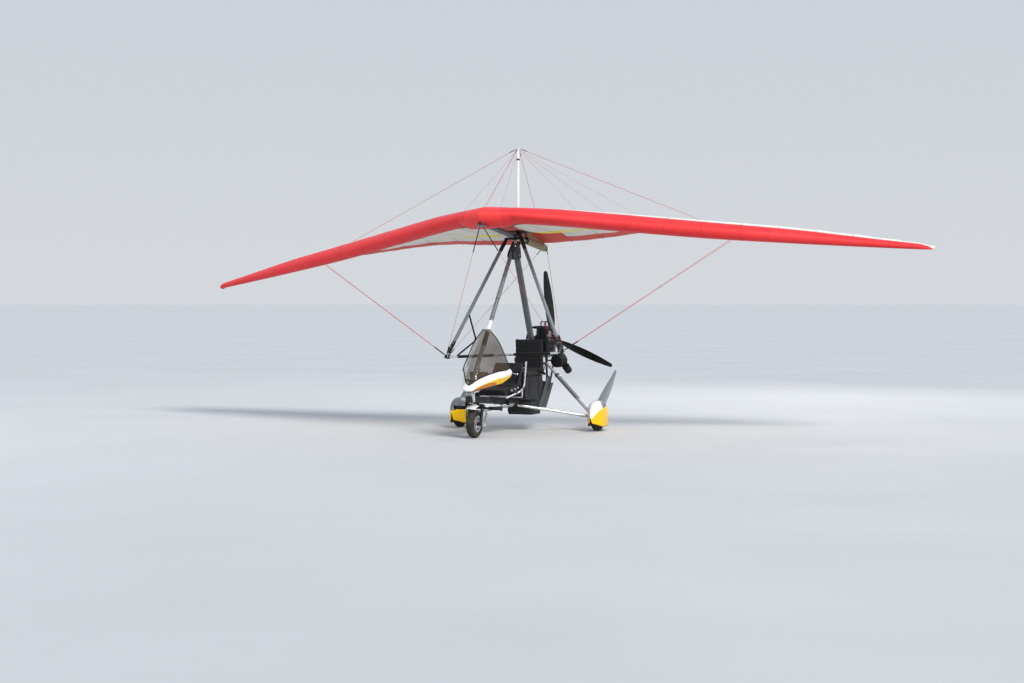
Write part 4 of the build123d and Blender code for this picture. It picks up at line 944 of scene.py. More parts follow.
def makeControlFrame():
    # grips on the base bar, sleeves on the uprights, bolts, and rings on the kingpost
    w = wingFrame
    grips, bolts, caps = [], [], []
    (inner, outer), r, end = w["grip"], w["gripR"], w["gripEnd"]
    for side in (1, -1):
        xs = (inner, inner + 0.003, inner + 0.02, outer - 0.02, outer - 0.003, outer)
        grips += tubePatches(onWing([(side * x, w["barY"], w["barZ"]) for x in xs]),
                             [end, r - 0.001, r, r, r - 0.001, end], 24)
        top, foot = (np.array(w[k]) * [side, 1, 1] for k in ("apex", "foot"))
        d = unit(foot - top)
        caps += sleevePatches(foot, -d, (0.165, 0.163, 0.012, 0.01), (0.0212, 0.0232, 0.0232, 0.0212), 24)
        caps += sleevePatches(top, d, (0.05, 0.052, 0.175, 0.177), (0.0212, 0.0238, 0.0232, 0.0212), 24)
        corner = np.array([side * w["barX"], w["barY"], w["barZ"] + 0.006])
        for face in (-1, 1):
            across = wingWay([0, face, 0])
            bolts += boltsAt([onWing(foot - d * stop + [0, face * 0.0232, 0]) for stop in (0.085, 0.145)],
                             across, 0.0055)
            bolts += boltsAt([onWing(corner + [side * -0.012, face * 0.027, dz]) for dz in (-0.004, 0.014)],
                             across, 0.0058)
            # pins of the uprights in the apex
            bolts += boltPatches(onWing([side * 0.055, -0.086 + face * 0.028, -0.012]), across, 0.008)
        bolts += boltPatches(onWing(corner + [side * 0.029, 0, -0.004]), wingWay([side, 0, 0]), 0.007)
        keelBolts = [onWing([side * x, y, -0.0372]) for x, y in w["keelBolts"]]
        bolts += boltsAt(keelBolts, wingWay([0, 0, -1]), 0.006)
    up = wingWay([0, 0, 1])
    base = lathePatches(w["postBase"], onWing([0, w["postY"], w["keelR"] + 0.002]), up, 28)
    collar = lathePatches(w["postCollar"], onWing([0, w["postY"], w["postTop"] - 0.14]), up, 24)
    makePieces("wing", ("bar_grips", grips, "foam"), ("upright_sleeves", caps, "plastic"),
               ("frame_bolts", bolts, "steel"), ("kingpost_base", base, "plastic"),
               ("kingpost_collar", collar, "darkTube"))


def makeInnerTubes():
    # leading edge tubes, seen between the lower surfaces
    xs, back, radii = np.array(wingFrame["edgeTubes"]).T
    st = sailStations(xs)
    tubes = []
    for side in (1, -1):
        path = np.stack([side * xs, st["leY"] + back, st["leZ"] + st["noseW"]], axis=-1)
        tubes += tubePatches(onWing(path), radii, 16)
    makePiece("leading_edge_tubes", tubes, mat["tube"], "wing")


makeNoseCover()
makePocket()
makeBattens()
makeWireFittings()
makeControlFrame()
makeInnerTubes()
print("wing fittings made")


# wheels
wheelShape = {
    "radius": 0.167, "rim": 0.094, "bolts": 5, "boltCircle": 0.034, "notches": 44,
    "front": (0.0, -1.69, 0.167), "left": (0.924, 0.0, 0.167), "right": (-0.924, 0.0, 0.167),
    "frontGrooves": (0.0, 0.0125, 0.025), "rearGrooves": (0.007, 0.0215), "valve": (0.036, 0.064, 0.046),
    "hubSeal": ((0.0, 0.024), (0.0025, 0.0225), (0.003, 0.0165), (0.0028, 0.011)),
}


def tyreProfile():
    # half outline from the bead over the sidewall to the crown: (across, radius)
    w = wheelShape
    side = (w["radius"] + w["rim"]) / 2 - 0.004
    bead, wall, shoulder, crown = (0.036, w["rim"]), (0.048, side), (0.037, 0.155), (0.0, w["radius"])

    def bow(a, b, bulge, n):
        t = np.linspace(0, 1, n)[:, None]
        a, b = np.array(a), np.array(b)
        out = np.array([b[1] - a[1], a[0] - b[0]])
        return a + (b - a) * t + np.sin(np.pi * t) * out / np.linalg.norm(out) * bulge

    return np.vstack([bow(bead, wall, 0.0035, 9)[:-1], bow(wall, shoulder, 0.0028, 12)[:-1],
                      bow(shoulder, crown, 0.0026, 18)])


def tyrePatch(centre, grooves, notches):
    # tread grooves run round the tyre, and short cuts cross its shoulders
    half = tyreProfile()
    profile = np.vstack([half[:-1], (half * [-1, 1])[::-1]])
    a = turns(notches * 6)[:, None]
    x, r = profile[:, 0][None, :], profile[:, 1][None, :]
    cut = np.zeros_like(x)
    for g in grooves:
        cut = np.maximum(cut, np.where(r > 0.15, np.exp(-((np.abs(x) - g) / 0.0023) ** 4), 0) * 0.0035)
    beat = np.arange(len(a))[:, None] % 6 < 2
    shoulder = (np.abs(x) > 0.03) & (r > 0.146)
    cut = np.maximum(np.broadcast_to(cut, (len(a), x.shape[1])), np.where(beat & shoulder, 0.0028, 0.0))
    ring = 0.001 * np.exp(-((r - 0.105) / 0.0016) ** 2) + 0.0008 * np.exp(-((r - 0.14) / 0.0012) ** 2)
    r = r - cut
    x = np.broadcast_to(x + np.sign(x) * ring, r.shape)
    pts = np.stack([x, r * np.cos(a), r * np.sin(a)], axis=-1) + np.asarray(centre)
    return gridPatch(pts, closeU=True, closeV=True)


def makeWheels():
    w = wheelShape
    for name in ("front", "left", "right"):
        centre, body = onTrike(w[name]), f"{name}_wheel"
        tread = tyrePatch(centre, w["frontGrooves" if name == "front" else "rearGrooves"], w["notches"])
        makePiece(f"{name}_tread", [tread], mat["tyre"], body, (f"{name}_tyre",), "tyre_black", angle=32)
        bits, dark = [], []
        circle = turns(w["bolts"]) + np.pi / w["bolts"]
        for side in (1, -1):
            places = [centre + [side * 0.0061, w["boltCircle"] * math.cos(a), w["boltCircle"] * math.sin(a)]
                      for a in circle]
            bits += boltsAt(places, (side, 0, 0), 0.0042)
            dark += lathePatches(w["hubSeal"], centre + [side * 0.0401, 0, 0], (side, 0, 0), 28)
        out = np.array([-1.0 if name == "right" else 1.0, 0, 0])
        valve = centre + np.array(w["valve"]) * [out[0], 1, 1]
        dark += sleevePatches(valve, out, (-0.012, 0.02, 0.021, 0.03), (0.0035, 0.0032, 0.0042, 0.004), 10,
                              place=np.array)
        makePieces(body, (f"{name}_rim_bolts", bits, "steel"), (f"{name}_seal", dark, "plastic"))


makeWheels()
print("wheels made")


# fairings
spatShape = {
    "length": 0.54, "width": 0.196, "top": 0.374, "bottom": 0.058, "frontRise": 0.046, "waist": 0.185,
    "power": 2.5, "slotHalf": 0.044, "slotLow": 0.105, "slotHigh": 0.309, "skin": 0.0035, "x": 0.924,
    "screws": ((-0.17, 0.11), (-0.06, 0.085), (0.06, 0.085), (0.17, 0.11)),
    # fin: height, front, chord, thickness, lean outwards
    "fin": [(0.25, -0.08, 0.34, 0.06, 0.0), (0.33, -0.06, 0.38, 0.054, 0.0),
            (0.42, 0.072, 0.366, 0.038, 0.002), (0.53, 0.258, 0.29, 0.027, 0.006),
            (0.64, 0.466, 0.172, 0.018, 0.01), (0.722, 0.606, 0.082, 0.012, 0.014)],
}


def circleThrough(a, b, c):
    # middle and radius of the circle through three (x, y) pairs of numbers or arrays
    d = 2 * (a[0] * (b[1] - c[1]) + b[0] * (c[1] - a[1]) + c[0] * (a[1] - b[1]))
    sa, sb, sc = (p[0] ** 2 + p[1] ** 2 for p in (a, b, c))
    mx = (sa * (b[1] - c[1]) + sb * (c[1] - a[1]) + sc * (a[1] - b[1])) / d
    my = (sa * (c[0] - b[0]) + sb * (a[0] - c[0]) + sc * (b[0] - a[0])) / d
    return mx, my, np.hypot(b[0] - mx, b[1] - my)


def arcThrough(a, b, c, y):
    # height at y of the circle through three points, the upper branch
    mx, my, r = circleThrough(a, b, c)
    return my + np.sqrt(np.clip(r * r - (np.asarray(y) - mx) ** 2, 0, None))


def spatForm(y):
    # half width and top height of the spat along its length, y from the wheel's centre
    s = spatShape
    front, rear, half, top = -s["length"] / 2, s["length"] / 2, s["width"] / 2, s["top"]
    wide = np.where(y < -0.04, arcThrough((front, 0.0), (front * 0.62, half * 0.66), (-0.04, half), y),
                    half - half * 0.58 * ((y + 0.04) / (rear + 0.04)) ** 2)
    high = np.where(y < 0, arcThrough((0, top), (front * 0.72, top - 0.062), (front, 0.19), y),
                    arcThrough((rear, 0.25), (rear * 0.62, top - 0.034), (0, top), y))
    tuck = np.sqrt(np.clip(1 - np.clip((y - rear + 0.022) / 0.022, 0, 1) ** 2, 0.0, 1))
    return np.maximum(wide * tuck, 0.0015), high


def spatLow(y):
    # lower edge: level, and raised towards the front
    s = spatShape
    front = -s["length"] / 2
    heights = [0.182, s["bottom"] + s["frontRise"], s["bottom"]]
    return np.interp(y, [front, front + 0.02, front * 0.3], heights)


def spatPatch(side):
    s = spatShape
    front, rear = -s["length"] / 2, s["length"] / 2
    y = np.unique(np.concatenate([front + 0.06 * (1 - np.cos(np.linspace(0, 1, 10) * np.pi / 2)),
                                  [front + 0.02, front * 0.3], np.linspace(front + 0.06, rear - 0.022, 44),
                                  [-s["slotHalf"], s["slotHalf"]],
                                  rear - 0.022 + 0.022 * np.sin(np.linspace(0, 1, 8) * np.pi / 2)]))
    wide, high = spatForm(y)
    low = spatLow(y)
    slotShare = (s["slotHigh"] - s["waist"]) / (s["top"] - s["waist"])
    angles = np.unique(np.append(np.linspace(0, np.pi / 2, 24)[1:], math.asin(slotShare ** (s["power"] / 2))))
    rows = []
    for share in (0.0, 0.12, (s["slotLow"] - s["bottom"]) / (s["waist"] - s["bottom"]), 0.6, 0.8, 1.0):
        z = low + (s["waist"] - low) * share
        rows.append(np.stack([wide * (0.955 + 0.045 * math.sin(share * np.pi / 2)), y, z], axis=-1))
    for a in angles:
        z = s["waist"] + (np.maximum(high, s["waist"]) - s["waist"]) * math.sin(a) ** (2 / s["power"])
        rows.append(np.stack([wide * max(math.cos(a), 0.0) ** (2 / s["power"]), y, z], axis=-1))
    outer = np.stack(rows)
    ring = np.concatenate([outer, (outer * [-1, 1, 1])[::-1][1:]])
    patch = gridPatch(ring * [side, 1, 1] + onTrike([side * s["x"], 0, 0]), flip=side < 0)
    mid = (ring[:-1, :-1] + ring[1:, 1:]) / 2
    slot = ((mid[..., 0] < 0) & (np.abs(mid[..., 1]) < s["slotHalf"]) & (mid[..., 2] > s["slotLow"])
            & (mid[..., 2] < s["slotHigh"])).reshape(-1)
    patch["faces"], patch["slots"] = patch["faces"][~slot], patch["slots"][~slot]
    return patch


def finPatch(side):
    # swept fin, lens sections blended from its root inside the spat to its tip
    rows = smoothPath(spatShape["fin"], 7)
    t = np.linspace(0, 1, 21)
    lens = np.sin(np.pi * t ** 0.8) ** 0.8 * 0.5
    sections = []
    for z, y0, chord, thick, out in rows:
        loop = [(out + thick * h, y0 + chord * u, z) for u, h in zip(t, lens)]
        loop += [(out - thick * h, y0 + chord * u, z) for u, h in list(zip(t, lens))[-2:0:-1]]
        sections.append(loop)
    ring = np.array(sections) * [side, 1, 1] + onTrike([side * spatShape["x"], 0, 0])
    return [gridPatch(ring, closeV=True, flip=side > 0), fanPatch(ring[-1], flip=side > 0),
            fanPatch(ring[0], flip=side < 0)]


def makeSpats():
    s = spatShape
    for side, name in ((1, "left"), (-1, "right")):
        rest = ("trike", (f"{name}_spat",), "fairing_paint")
        shell = makePiece(f"{name}_spat_shell", [spatPatch(side)], mat[f"{name}Spat"], *rest, angle=50)
        finishWith(shell, "SOLIDIFY", thickness=s["skin"], offset=-1.0)
        makePiece(f"{name}_spat_fin", finPatch(side), mat["grey"], *rest, angle=50)
        # rubber seal round the arm's opening and along the lower edge
        a = turns(60)
        x = side * (s["x"] - s["width"] / 2 + 0.001)
        across = np.sign(np.cos(a)) * np.abs(np.cos(a)) ** 0.28 * (s["slotHalf"] + 0.001)
        up = np.sign(np.sin(a)) * np.abs(np.sin(a)) ** 0.28 * (s["slotHigh"] - s["slotLow"]) / 2
        loop = [(x, axleY + v, (s["slotLow"] + s["slotHigh"]) / 2 + z) for v, z in zip(across, up)]
        seal = tubePatches(loop + loop[:1], 0.004, 8, caps=False)
        y = np.linspace(-s["length"] / 2 + 0.03, s["length"] / 2 - 0.02, 40)
        wide, _ = spatForm(y)
        for edge in (1, -1):
            seal += tubePatches(np.column_stack([side * (s["x"] + edge * wide * 0.955), axleY + y,
                                                 spatLow(y) + 0.001]), 0.0032, 8)
        # the axle's outer washer and screws along the lower edge
        screws = boltPatches(onTrike([side * (s["x"] + 0.0985), 0, 0.167]), (side, 0, 0), 0.01)
        for v, z in s["screws"]:
            half = spatForm(np.array([v]))[0][0]
            screws += boltPatches(onTrike([side * (s["x"] + half * 0.975), v, z]), (side, 0, 0), 0.0038)
        makePieces("trike", (f"{name}_spat_trim", seal, "rubber"), (f"{name}_spat_screws", screws, "steel"))


podShape = {
    # half width, rear y, rear z, front y, front z, from the top edge down, then the screen from its foot up
    "rows": [(0.3, -1.32, 0.806, -1.851, 0.623), (0.318, -1.292, 0.76, -1.897, 0.571),
             (0.292, -1.292, 0.7, -1.89, 0.552), (0.235, -1.4, 0.63, -1.882, 0.546)],
    "screen": [(0.262, -1.322, 0.895, -1.752, 0.79), (0.212, -1.318, 1.005, -1.64, 0.96),
               (0.142, -1.322, 1.14, -1.482, 1.12), (0.04, -1.334, 1.262, -1.372, 1.258)],
    "wall": 0.005, "screenWall": 0.0035, "edge": 0.0055, "noseShare": 0.3, "lift": 0.34,
    # radii of the beads at the screen's foot, on the pod's lowest row and on its rear edges; the studs' size
    "screenBead": 0.0058, "lowBead": 0.0042, "rearBead": 0.0045, "stud": 0.0042,
    # share from the nose to the rear edge, then the levels where white and lit yellow end; below the yellow
    # the pod is painted in shade; levels count the rows
    "bands": [(0.0, 2.95, 2.96), (0.12, 2.8, 2.85), (0.22, 1.4, 1.45), (0.3, 0.95, 1.00),
              (0.42, 0.8, 0.85), (0.53, 0.84, 1.2), (0.65, 1.02, 2.3), (0.77, 1.42, 2.99),
              (0.88, 1.55, 2.99), (1.0, 1.28, 2.99)],
}


def arcAt(a, b, c, t):
    # point at share t of the arc from a through b to c, each an (x, y) pair of arrays
    mx, my, r = circleThrough(a, b, c)
    start, mid, end = (np.arctan2(p[1] - my, p[0] - mx) for p in (a, b, c))
    start, end = ((v - mid + np.pi) % (2 * np.pi) - np.pi for v in (start, end))
    angle = mid + np.where(t < 0.5, start * (1 - 2 * t), end * (2 * t - 1))
    return mx + r * np.cos(angle), my + r * np.sin(angle)


def bowedSections(rows, share):
    # sections open aft, bowed sides, round nose; share is -1 at the starboard rear edge and 0 at the nose
    r = np.asarray(rows, float)
    ahead = r[..., 3:5] - r[..., 1:3]
    depth = np.linalg.norm(ahead, axis=-1)
    w, d = r[..., 0], depth
    s, n = np.abs(share), podShape["noseShare"]
    rear, middle, shoulder, nose = (w, 0 * d), (w * 0.76, d * 0.34), (w * 0.28, d * 0.905), (0 * w, d)
    side = arcAt(rear, middle, shoulder, (1 - s) / (1 - n))
    tip = arcAt(shoulder, nose, (-shoulder[0], shoulder[1]), 0.5 * (1 - s / n))
    x = np.where(s > n, side[0], tip[0]) * np.where(share < 0, -1, 1)
    forward = np.where(s > n, side[1], tip[1]) / depth
    return np.stack([x, r[..., 1] + ahead[..., 0] * forward, r[..., 2] + ahead[..., 1] * forward], axis=-1)


def railLevel(share):
    # the pod's upper edge bows up on the screen's surface between the nose and its rear corners
    return podShape["lift"] * np.sin(np.pi * np.clip(np.abs(share) / 0.88, 0, 1))


def rowsAt(rows, level):
    # rows blended smoothly at fractional levels
    path = smoothPath(rows, 16)
    steps = np.arange(len(path)) / 16
    return np.stack([np.interp(level, steps, path[:, k]) for k in range(5)], axis=-1)


def makePod():
    p = podShape
    share = np.linspace(-1, 1, 161)
    bands = np.array(p["bands"])
    whiteEnd, yellowEnd = (smoothColumn(bands[:, 0], bands[:, k], np.abs(share)) for k in (1, 2))
    whiteEnd = np.clip(whiteEnd, 0.1, 2.96)
    yellowEnd = np.clip(yellowEnd, whiteEnd + 0.01, 2.99)
    t, rail = np.linspace(0, 1, 15)[:, None], railLevel(share)
    level = np.concatenate([(whiteEnd + rail) * t - rail, (whiteEnd + (yellowEnd - whiteEnd) * t)[1:],
                            (yellowEnd + (3 - yellowEnd) * t)[1:]])
    screenRows = p["rows"][:1] + p["screen"]
    rows = np.where((level < 0)[..., None], rowsAt(screenRows, -level), rowsAt(p["rows"], level))
    pts = onTrike(bowedSections(rows, np.broadcast_to(share, level.shape)))
    # slots: white, lit yellow, then the same yellow in painted shade; the inside is beige
    slots = np.repeat([0, 1, 2], 14)[:, None] * np.ones(len(share) - 1, int)
    paints = [mat[k] for k in ("white", "yellow", "paintedShadeYellow", "beige", "beige", "beige")]
    shell = makePiece("pod_shell", [gridPatch(pts, slot=slots)], paints, "trike", ("pod",), "fairing_paint",
                      angle=60)
    finishWith(shell, "SOLIDIFY", thickness=p["wall"], offset=-1.0, material_offset=3)
    level = rail + (len(p["screen"]) - rail) * np.linspace(0, 1, 41)[:, None]
    screen = bowedSections(rowsAt(screenRows, level), np.broadcast_to(share, level.shape))
    screen = onTrike(screen + [0, 0, 0.0003])
    glass = makePiece("screen_shell", [gridPatch(screen, flip=True)], mat["screen"], "trike", ("windscreen",),
                      "screen_tint", angle=60)
    finishWith(glass, "SOLIDIFY", thickness=p["screenWall"], offset=-1.0)
    # rubber edging on the screen's rear edges and tip, and a bead where it meets the pod
    edge = np.concatenate([screen[:, 0], screen[-1], screen[::-1, -1]])
    keep = np.concatenate([[True], np.linalg.norm(np.diff(edge, axis=0), axis=1) > 1e-5])
    trim = tubePatches(edge[keep], p["edge"], 10)
    trim += tubePatches(screen[0] + [0, 0, 0.001], p["screenBead"], 8)
    trim += tubePatches(pts[-1], p["lowBead"], 8)
    for k in (0, -1):
        trim += tubePatches(pts[:, k], p["rearBead"], 8)
    makePiece("screen_edging", trim, mat["rubber"], "trike")
    studs = []
    for column in range(8, 153, 8):
        along, up = screen[2, column + 1] - screen[2, column - 1], screen[3, column] - screen[1, column]
        out = unit(np.cross(along, up))
        studs += boltPatches(screen[1, column] + out * 0.0012, out, p["stud"])
    makePiece("screen_studs", studs, mat["plastic"], "trike")


makeSpats()
makePod()
print("fairings made")


# instruments, seats and what is under them
dialShape = {
    "lean": 10, "middle": (0, -1.545, 0.711), "proud": 0.012,
    # across, up and radius of each dial
    "dials": ((-0.072, 0.022, 0.029), (0.072, 0.022, 0.029), (-0.019, 0.034, 0.016), (0.019, 0.034, 0.016),
              (-0.086, -0.036, 0.014), (0.086, -0.036, 0.014)),
    "marks": range(-135, 136, 30), "hand": 0.9, "switches": (-0.024, -0.008, 0.008, 0.024),
}


def makeInstruments():
    # dials and switches on the panel's aft face
    s = dialShape
    t = math.radians(s["lean"])
    out, up = np.array([0, math.cos(t), math.sin(t)]), np.array([0, -math.sin(t), math.cos(t)])
    centre = onTrike(s["middle"]) + out * s["proud"]
    bezels, faces, marks, knobs = [], [], [], []

    def ray(a):
        return np.array([math.sin(a), 0, 0]) + up * math.cos(a)

    for x, z, r in s["dials"]:
        at = centre + [x, 0, 0] + up * z
        bezel = [(-0.001, r), (0.004, r), (0.005, r * 0.96), (0.005, r * 0.88), (0.0015, r * 0.86)]
        bezels += lathePatches(bezel, at, out, 36)
        faces += lathePatches([(0.0016, r * 0.87), (0.0018, 0.0001)], at, out, 36)
        for a in np.radians(s["marks"]):
            mark, way = at + out * 0.0021, ray(a) * r
            marks += tubePatches([mark + way * 0.64, mark + way * 0.8], 0.0006, 4)
        hand = at + out * 0.0026
        marks += tubePatches([hand, hand + ray(s["hand"]) * r * 0.62], [0.0011, 0.0004], 5)
    for x in s["switches"]:
        at = centre + [x, 0, 0] + up * 0.004
        knobs += lathePatches([(0, 0.005), (0.004, 0.005), (0.005, 0.0025)], at, out, 14)
        knobs += tubePatches([at, at + out * 0.012 + up * 0.004], [0.0018, 0.0024], 8)
    makePieces("trike", ("dial_bezels", bezels, "plastic"), ("dial_faces", faces, "shade"))
    makePieces("trike", ("dial_marks", marks, "whitePart"), smooth=False)
    makePieces("trike", ("panel_switches", knobs, "steel"))


seatShape = {
    # side outline (y, z), width, and seams: across, one at y below a height, and levels above a height
    "front": {"outline": [(-1.18, 0.4706), (-0.8, 0.513), (-0.657, 0.54), (-0.585, 0.855),
                          (-0.64, 0.862), (-0.713, 0.61), (-0.78, 0.573), (-1.185, 0.528)], "width": 0.37,
              "across": 0.12, "seamY": -0.99, "below": 0.6, "above": 0.6, "levels": (0.735,)},
    "rear": {"outline": [(-0.47, 0.672), (0.04, 0.672), (0.118, 0.7), (0.066, 1.13), (0.01, 1.13),
                         (0.03, 0.76), (-0.03, 0.736), (-0.47, 0.728)], "width": 0.38,
             "across": 0.125, "seamY": -0.25, "below": 0.76, "above": 0.78, "levels": (0.89, 1.01)},
    "shrink": 0.005, "round": 0.014, "voxel": 0.006, "cap": 0.009, "frames": 20, "pressure": 4.0, "fill": 0.7,
    "seamWidth": 0.007, "seamDepth": 0.005, "corner": 0.018, "sideEase": 0.012,
}


def seatPatches(spec):
    # closed pad from its side outline, a little smaller than its space, with rounded sides
    outline = np.array(spec["outline"])
    n = len(outline)
    loop = []
    for i in range(n):
        a, b, c = outline[i - 1], outline[i], outline[(i + 1) % n]
        r = min(seatShape["corner"], 0.4 * np.linalg.norm(b - a), 0.4 * np.linalg.norm(c - b))
        p, q = b + unit(a - b) * r, b + unit(c - b) * r
        t = np.linspace(0, 1, 6)[:, None]
        loop.append((1 - t) ** 2 * p + 2 * t * (1 - t) * b + t ** 2 * q)
    loop = np.vstack(loop)
    along = unit(np.roll(loop, -1, axis=0) - np.roll(loop, 1, axis=0))
    area = 0.5 * np.sum(loop[:, 0] * np.roll(loop[:, 1], -1) - np.roll(loop[:, 0], -1) * loop[:, 1])
    inward = np.column_stack([-along[:, 1], along[:, 0]]) * np.sign(area)
    half, r = spec["width"] / 2 - seatShape["shrink"], seatShape["round"]
    near = r * (1 - np.cos(np.linspace(0, 1, 5) * np.pi / 2))
    rows = []
    for x in np.concatenate([near - half, np.linspace(-half + 0.02, half - 0.02, 30), half - near[::-1]]):
        edge = np.clip((np.abs(x) - half + r) / r, 0, 1)
        ease = seatShape["sideEase"] * (1 - math.sqrt(max(0.0, 1 - edge ** 2)))
        ring = loop + inward * (seatShape["shrink"] + ease)
        rows.append(np.column_stack([np.full(len(ring), x), ring[:, 0] + axleY, ring[:, 1]]))
    pts, flip = np.stack(rows), area < 0
    ends = [fanPatch(pts[0], flip=flip), fanPatch(pts[-1], flip=not flip)]
    return [gridPatch(pts, closeV=True, flip=flip)] + ends


def inflate(obj):
    # cloth run with inner pressure, each point's move capped, then one subdivision
    s = seatShape
    finishWith(obj, "REMESH", mode="VOXEL", voxel_size=s["voxel"], use_smooth_shade=True)
    rested = bakedMesh(obj)
    start = pointsOf(rested)
    obj.modifiers.clear()
    obj.data = rested
    cloth = finishWith(obj, "CLOTH")
    cloth.settings.use_pressure = True
    cloth.settings.uniform_pressure_force = s["pressure"]
    cloth.settings.effector_weights.gravity = 0.0
    cloth.settings.quality = 5
    cloth.point_cache.frame_start, cloth.point_cache.frame_end = 1, s["frames"]
    for f in range(1, s["frames"] + 1):
        bpy.context.scene.frame_set(f)
    swollen = bakedMesh(obj)
    moved = pointsOf(swollen) - start
    far = np.linalg.norm(moved, axis=1, keepdims=True)
    capped = start + moved * np.minimum(1, s["cap"] / np.maximum(far, 1e-9))
    obj.modifiers.clear()
    bpy.context.scene.frame_set(1)
    obj.data = swollen
    swollen.vertices.foreach_set("co", capped.astype(np.float32).ravel())
    swollen.update()
    obj.data.shade_smooth()
    finishWith(obj, "SUBSURF", levels=1, render_levels=1)


def bakedMesh(obj):
    return bpy.data.meshes.new_from_object(obj.evaluated_get(bpy.context.evaluated_depsgraph_get()))


def pointsOf(mesh):
    flat = np.empty(len(mesh.vertices) * 3, np.float32)
    mesh.vertices.foreach_get("co", flat)
    return flat.reshape(-1, 3).astype(float)


def pressIn(obj, spec):
    # sewn channels: points near a seam sink along their own normal
    s, mesh = seatShape, obj.data
    p = pointsOf(mesh)
    normals = np.empty(len(p) * 3, np.float32)
    mesh.vertices.foreach_get("normal", normals)
    x, y, z = p.T
    gaps = [np.abs(x) - spec["across"], np.where(z < spec["below"], y - axleY - spec["seamY"], 1)]
    gaps += [np.where(z > spec["above"], z - level, 1) for level in spec["levels"]]
    sink = np.max([np.exp(-(gap / s["seamWidth"]) ** 2) for gap in gaps], axis=0)
    p = p - normals.reshape(-1, 3) * (sink * s["seamDepth"])[:, None]
    mesh.vertices.foreach_set("co", p.astype(np.float32).ravel())
    mesh.update()


def makeSeats():
    for name in ("front", "rear"):
        pad = makePiece(f"{name}_pad", seatPatches(seatShape[name]), mat["seat"], "trike", (f"{name}_seat",),
                        "seat_cloth")
        inflate(pad)
        pressIn(pad, seatShape[name])


# lap belts: the buckle's y and z, half the width and the y of the ends, for each seat
beltShape = {"width": 0.045, "thick": 0.0018, "buckle": (0.055, 0.05, 0.012),
             "seats": ((-0.8, 0.582, 0.188, -0.655), (-0.1, 0.741, 0.193, 0.04))}


def makeBelts():
    # lap belts lie on the cushions, each with a buckle
    s = beltShape
    webbing, metal = [], []
    for y, z, half, back in s["seats"]:
        for side, end in ((1, [(0.06, y - 0.05, z + 0.012), (-0.015, y - 0.052, z + 0.012)]),
                          (-1, [(-0.05, y - 0.05, z + 0.011)])):
            path = [(side * (half + 0.012), back + 0.01, z - 0.062),
                    (side * (half + 0.006), back - 0.06, z - 0.02),
                    (side * (half - 0.03), y - 0.02, z + 0.008)] + end
            webbing += strapPatches(onTrike(smoothPath(path, 8)), s["width"], s["thick"], (0, -0.25, 1))
        metal += boxPatches(onTrike([-0.03, y - 0.051, z + 0.016]), s["buckle"], soften=0.003)
    makePieces("trike", ("lap_belts", webbing, "webbing"), smooth=False)
    makePieces("trike", ("belt_buckles", metal, "steel"))


makeInstruments()
makeSeats()
makeBelts()
print("cockpit made")


tankShape = {
    "cap": ((-0.004, 0.036), (0.004, 0.036), (0.006, 0.034), (0.016, 0.032), (0.019, 0.028), (0.0195, 0.0)),
    "capAt": (0.13, -0.505, 0.648), "capWay": (0, -0.93, 0.36),
    # straps on tank and belly box: across, y, top, bottom, width, thickness
    "straps": ((0.18, -0.4, 0.655, 0.4375, 0.025, 0.002), (0.18, -0.08, 0.655, 0.416167, 0.025, 0.002),
               (0.151, -0.22, 0.306, 0.2, 0.02, 0.0018), (0.151, -0.02, 0.293, 0.2, 0.02, 0.0018)),
    "pipe": ((0.1, 0.02, 0.56), (0.13, 0.09, 0.6), (0.14, 0.2, 0.74), (0.13, 0.29, 0.84),
             (0.12, 0.37, 0.9)),
}


def makeTank():
    # filler cap, straps and fuel pipe
    s = tankShape
    cap = lathePatches(s["cap"], onTrike(s["capAt"]), s["capWay"], 28)
    straps = []
    for x, y, top, low, wide, thick in s["straps"]:
        for side in (1, -1):
            path = onTrike([(side * x, y, top), (side * x, y, low)])
            straps += strapPatches(path, wide, thick, (side, 0, 0))
    makePieces("trike", ("tank_cap", cap, "plastic"))
    makePieces("trike", ("tank_straps", straps, "webbing"), smooth=False)
    makePieces("trike", ("fuel_pipe", tubePatches(onTrike(smoothPath(s["pipe"], 8)), 0.0045, 8), "tank"))


engineShape = {
    "middle": 0.53, "barrels": (0.45, 0.59), "crank": 1.03, "gearRear": 0.8033, "propY": 0.876,
    "propZ": 1.112, "drum": (0.268, 0.395, 0.845), "head": 0.249,
    # sparking plug from its foot on the head: body, cap (places and radii) and lead
    "plug": ((0, 0.01), (0.008, 0.01), (0.009, 0.007), (0.02, 0.006)),
    "plugCap": (((0, 0, 0.016), (0, 0, 0.045), (0.012, 0, 0.055), (0.035, 0, 0.058)),
                (0.009, 0.0085, 0.008, 0.0065)),
    "lead": ((0.033, 0, 0.058), (0.075, -0.03, 0.05), (0.095, -0.08, -0.02), (0.09, -0.12, -0.1)),
    "flange": ((-0.004, 0.03), (0.004, 0.03), (0.006, 0.024), (0.03, 0.023)),
    "throat": ((-0.03, 0.022), (-0.028, 0.025), (0.02, 0.025), (0.024, 0.028), (0.034, 0.028)),
    "bowl": ((-0.06, 0.004), (-0.058, 0.017), (-0.03, 0.019), (-0.026, 0.022), (0.024, 0.022),
             (0.03, 0.018), (0.055, 0.016), (0.058, 0.004)),
    "cover": ((0.0, 0.082), (0.012, 0.082), (0.022, 0.074), (0.026, 0.06), (0.028, 0.0)),
    "mount": ((0, 0.02), (0.003, 0.022), (0.01, 0.022), (0.0125, 0.02)),
    # water hoses: x at the head and foot on the radiator
    "hoses": ((0.062, (0.15, 0.262, 0.588)), (-0.062, (-0.15, 0.246, 0.57))),
}


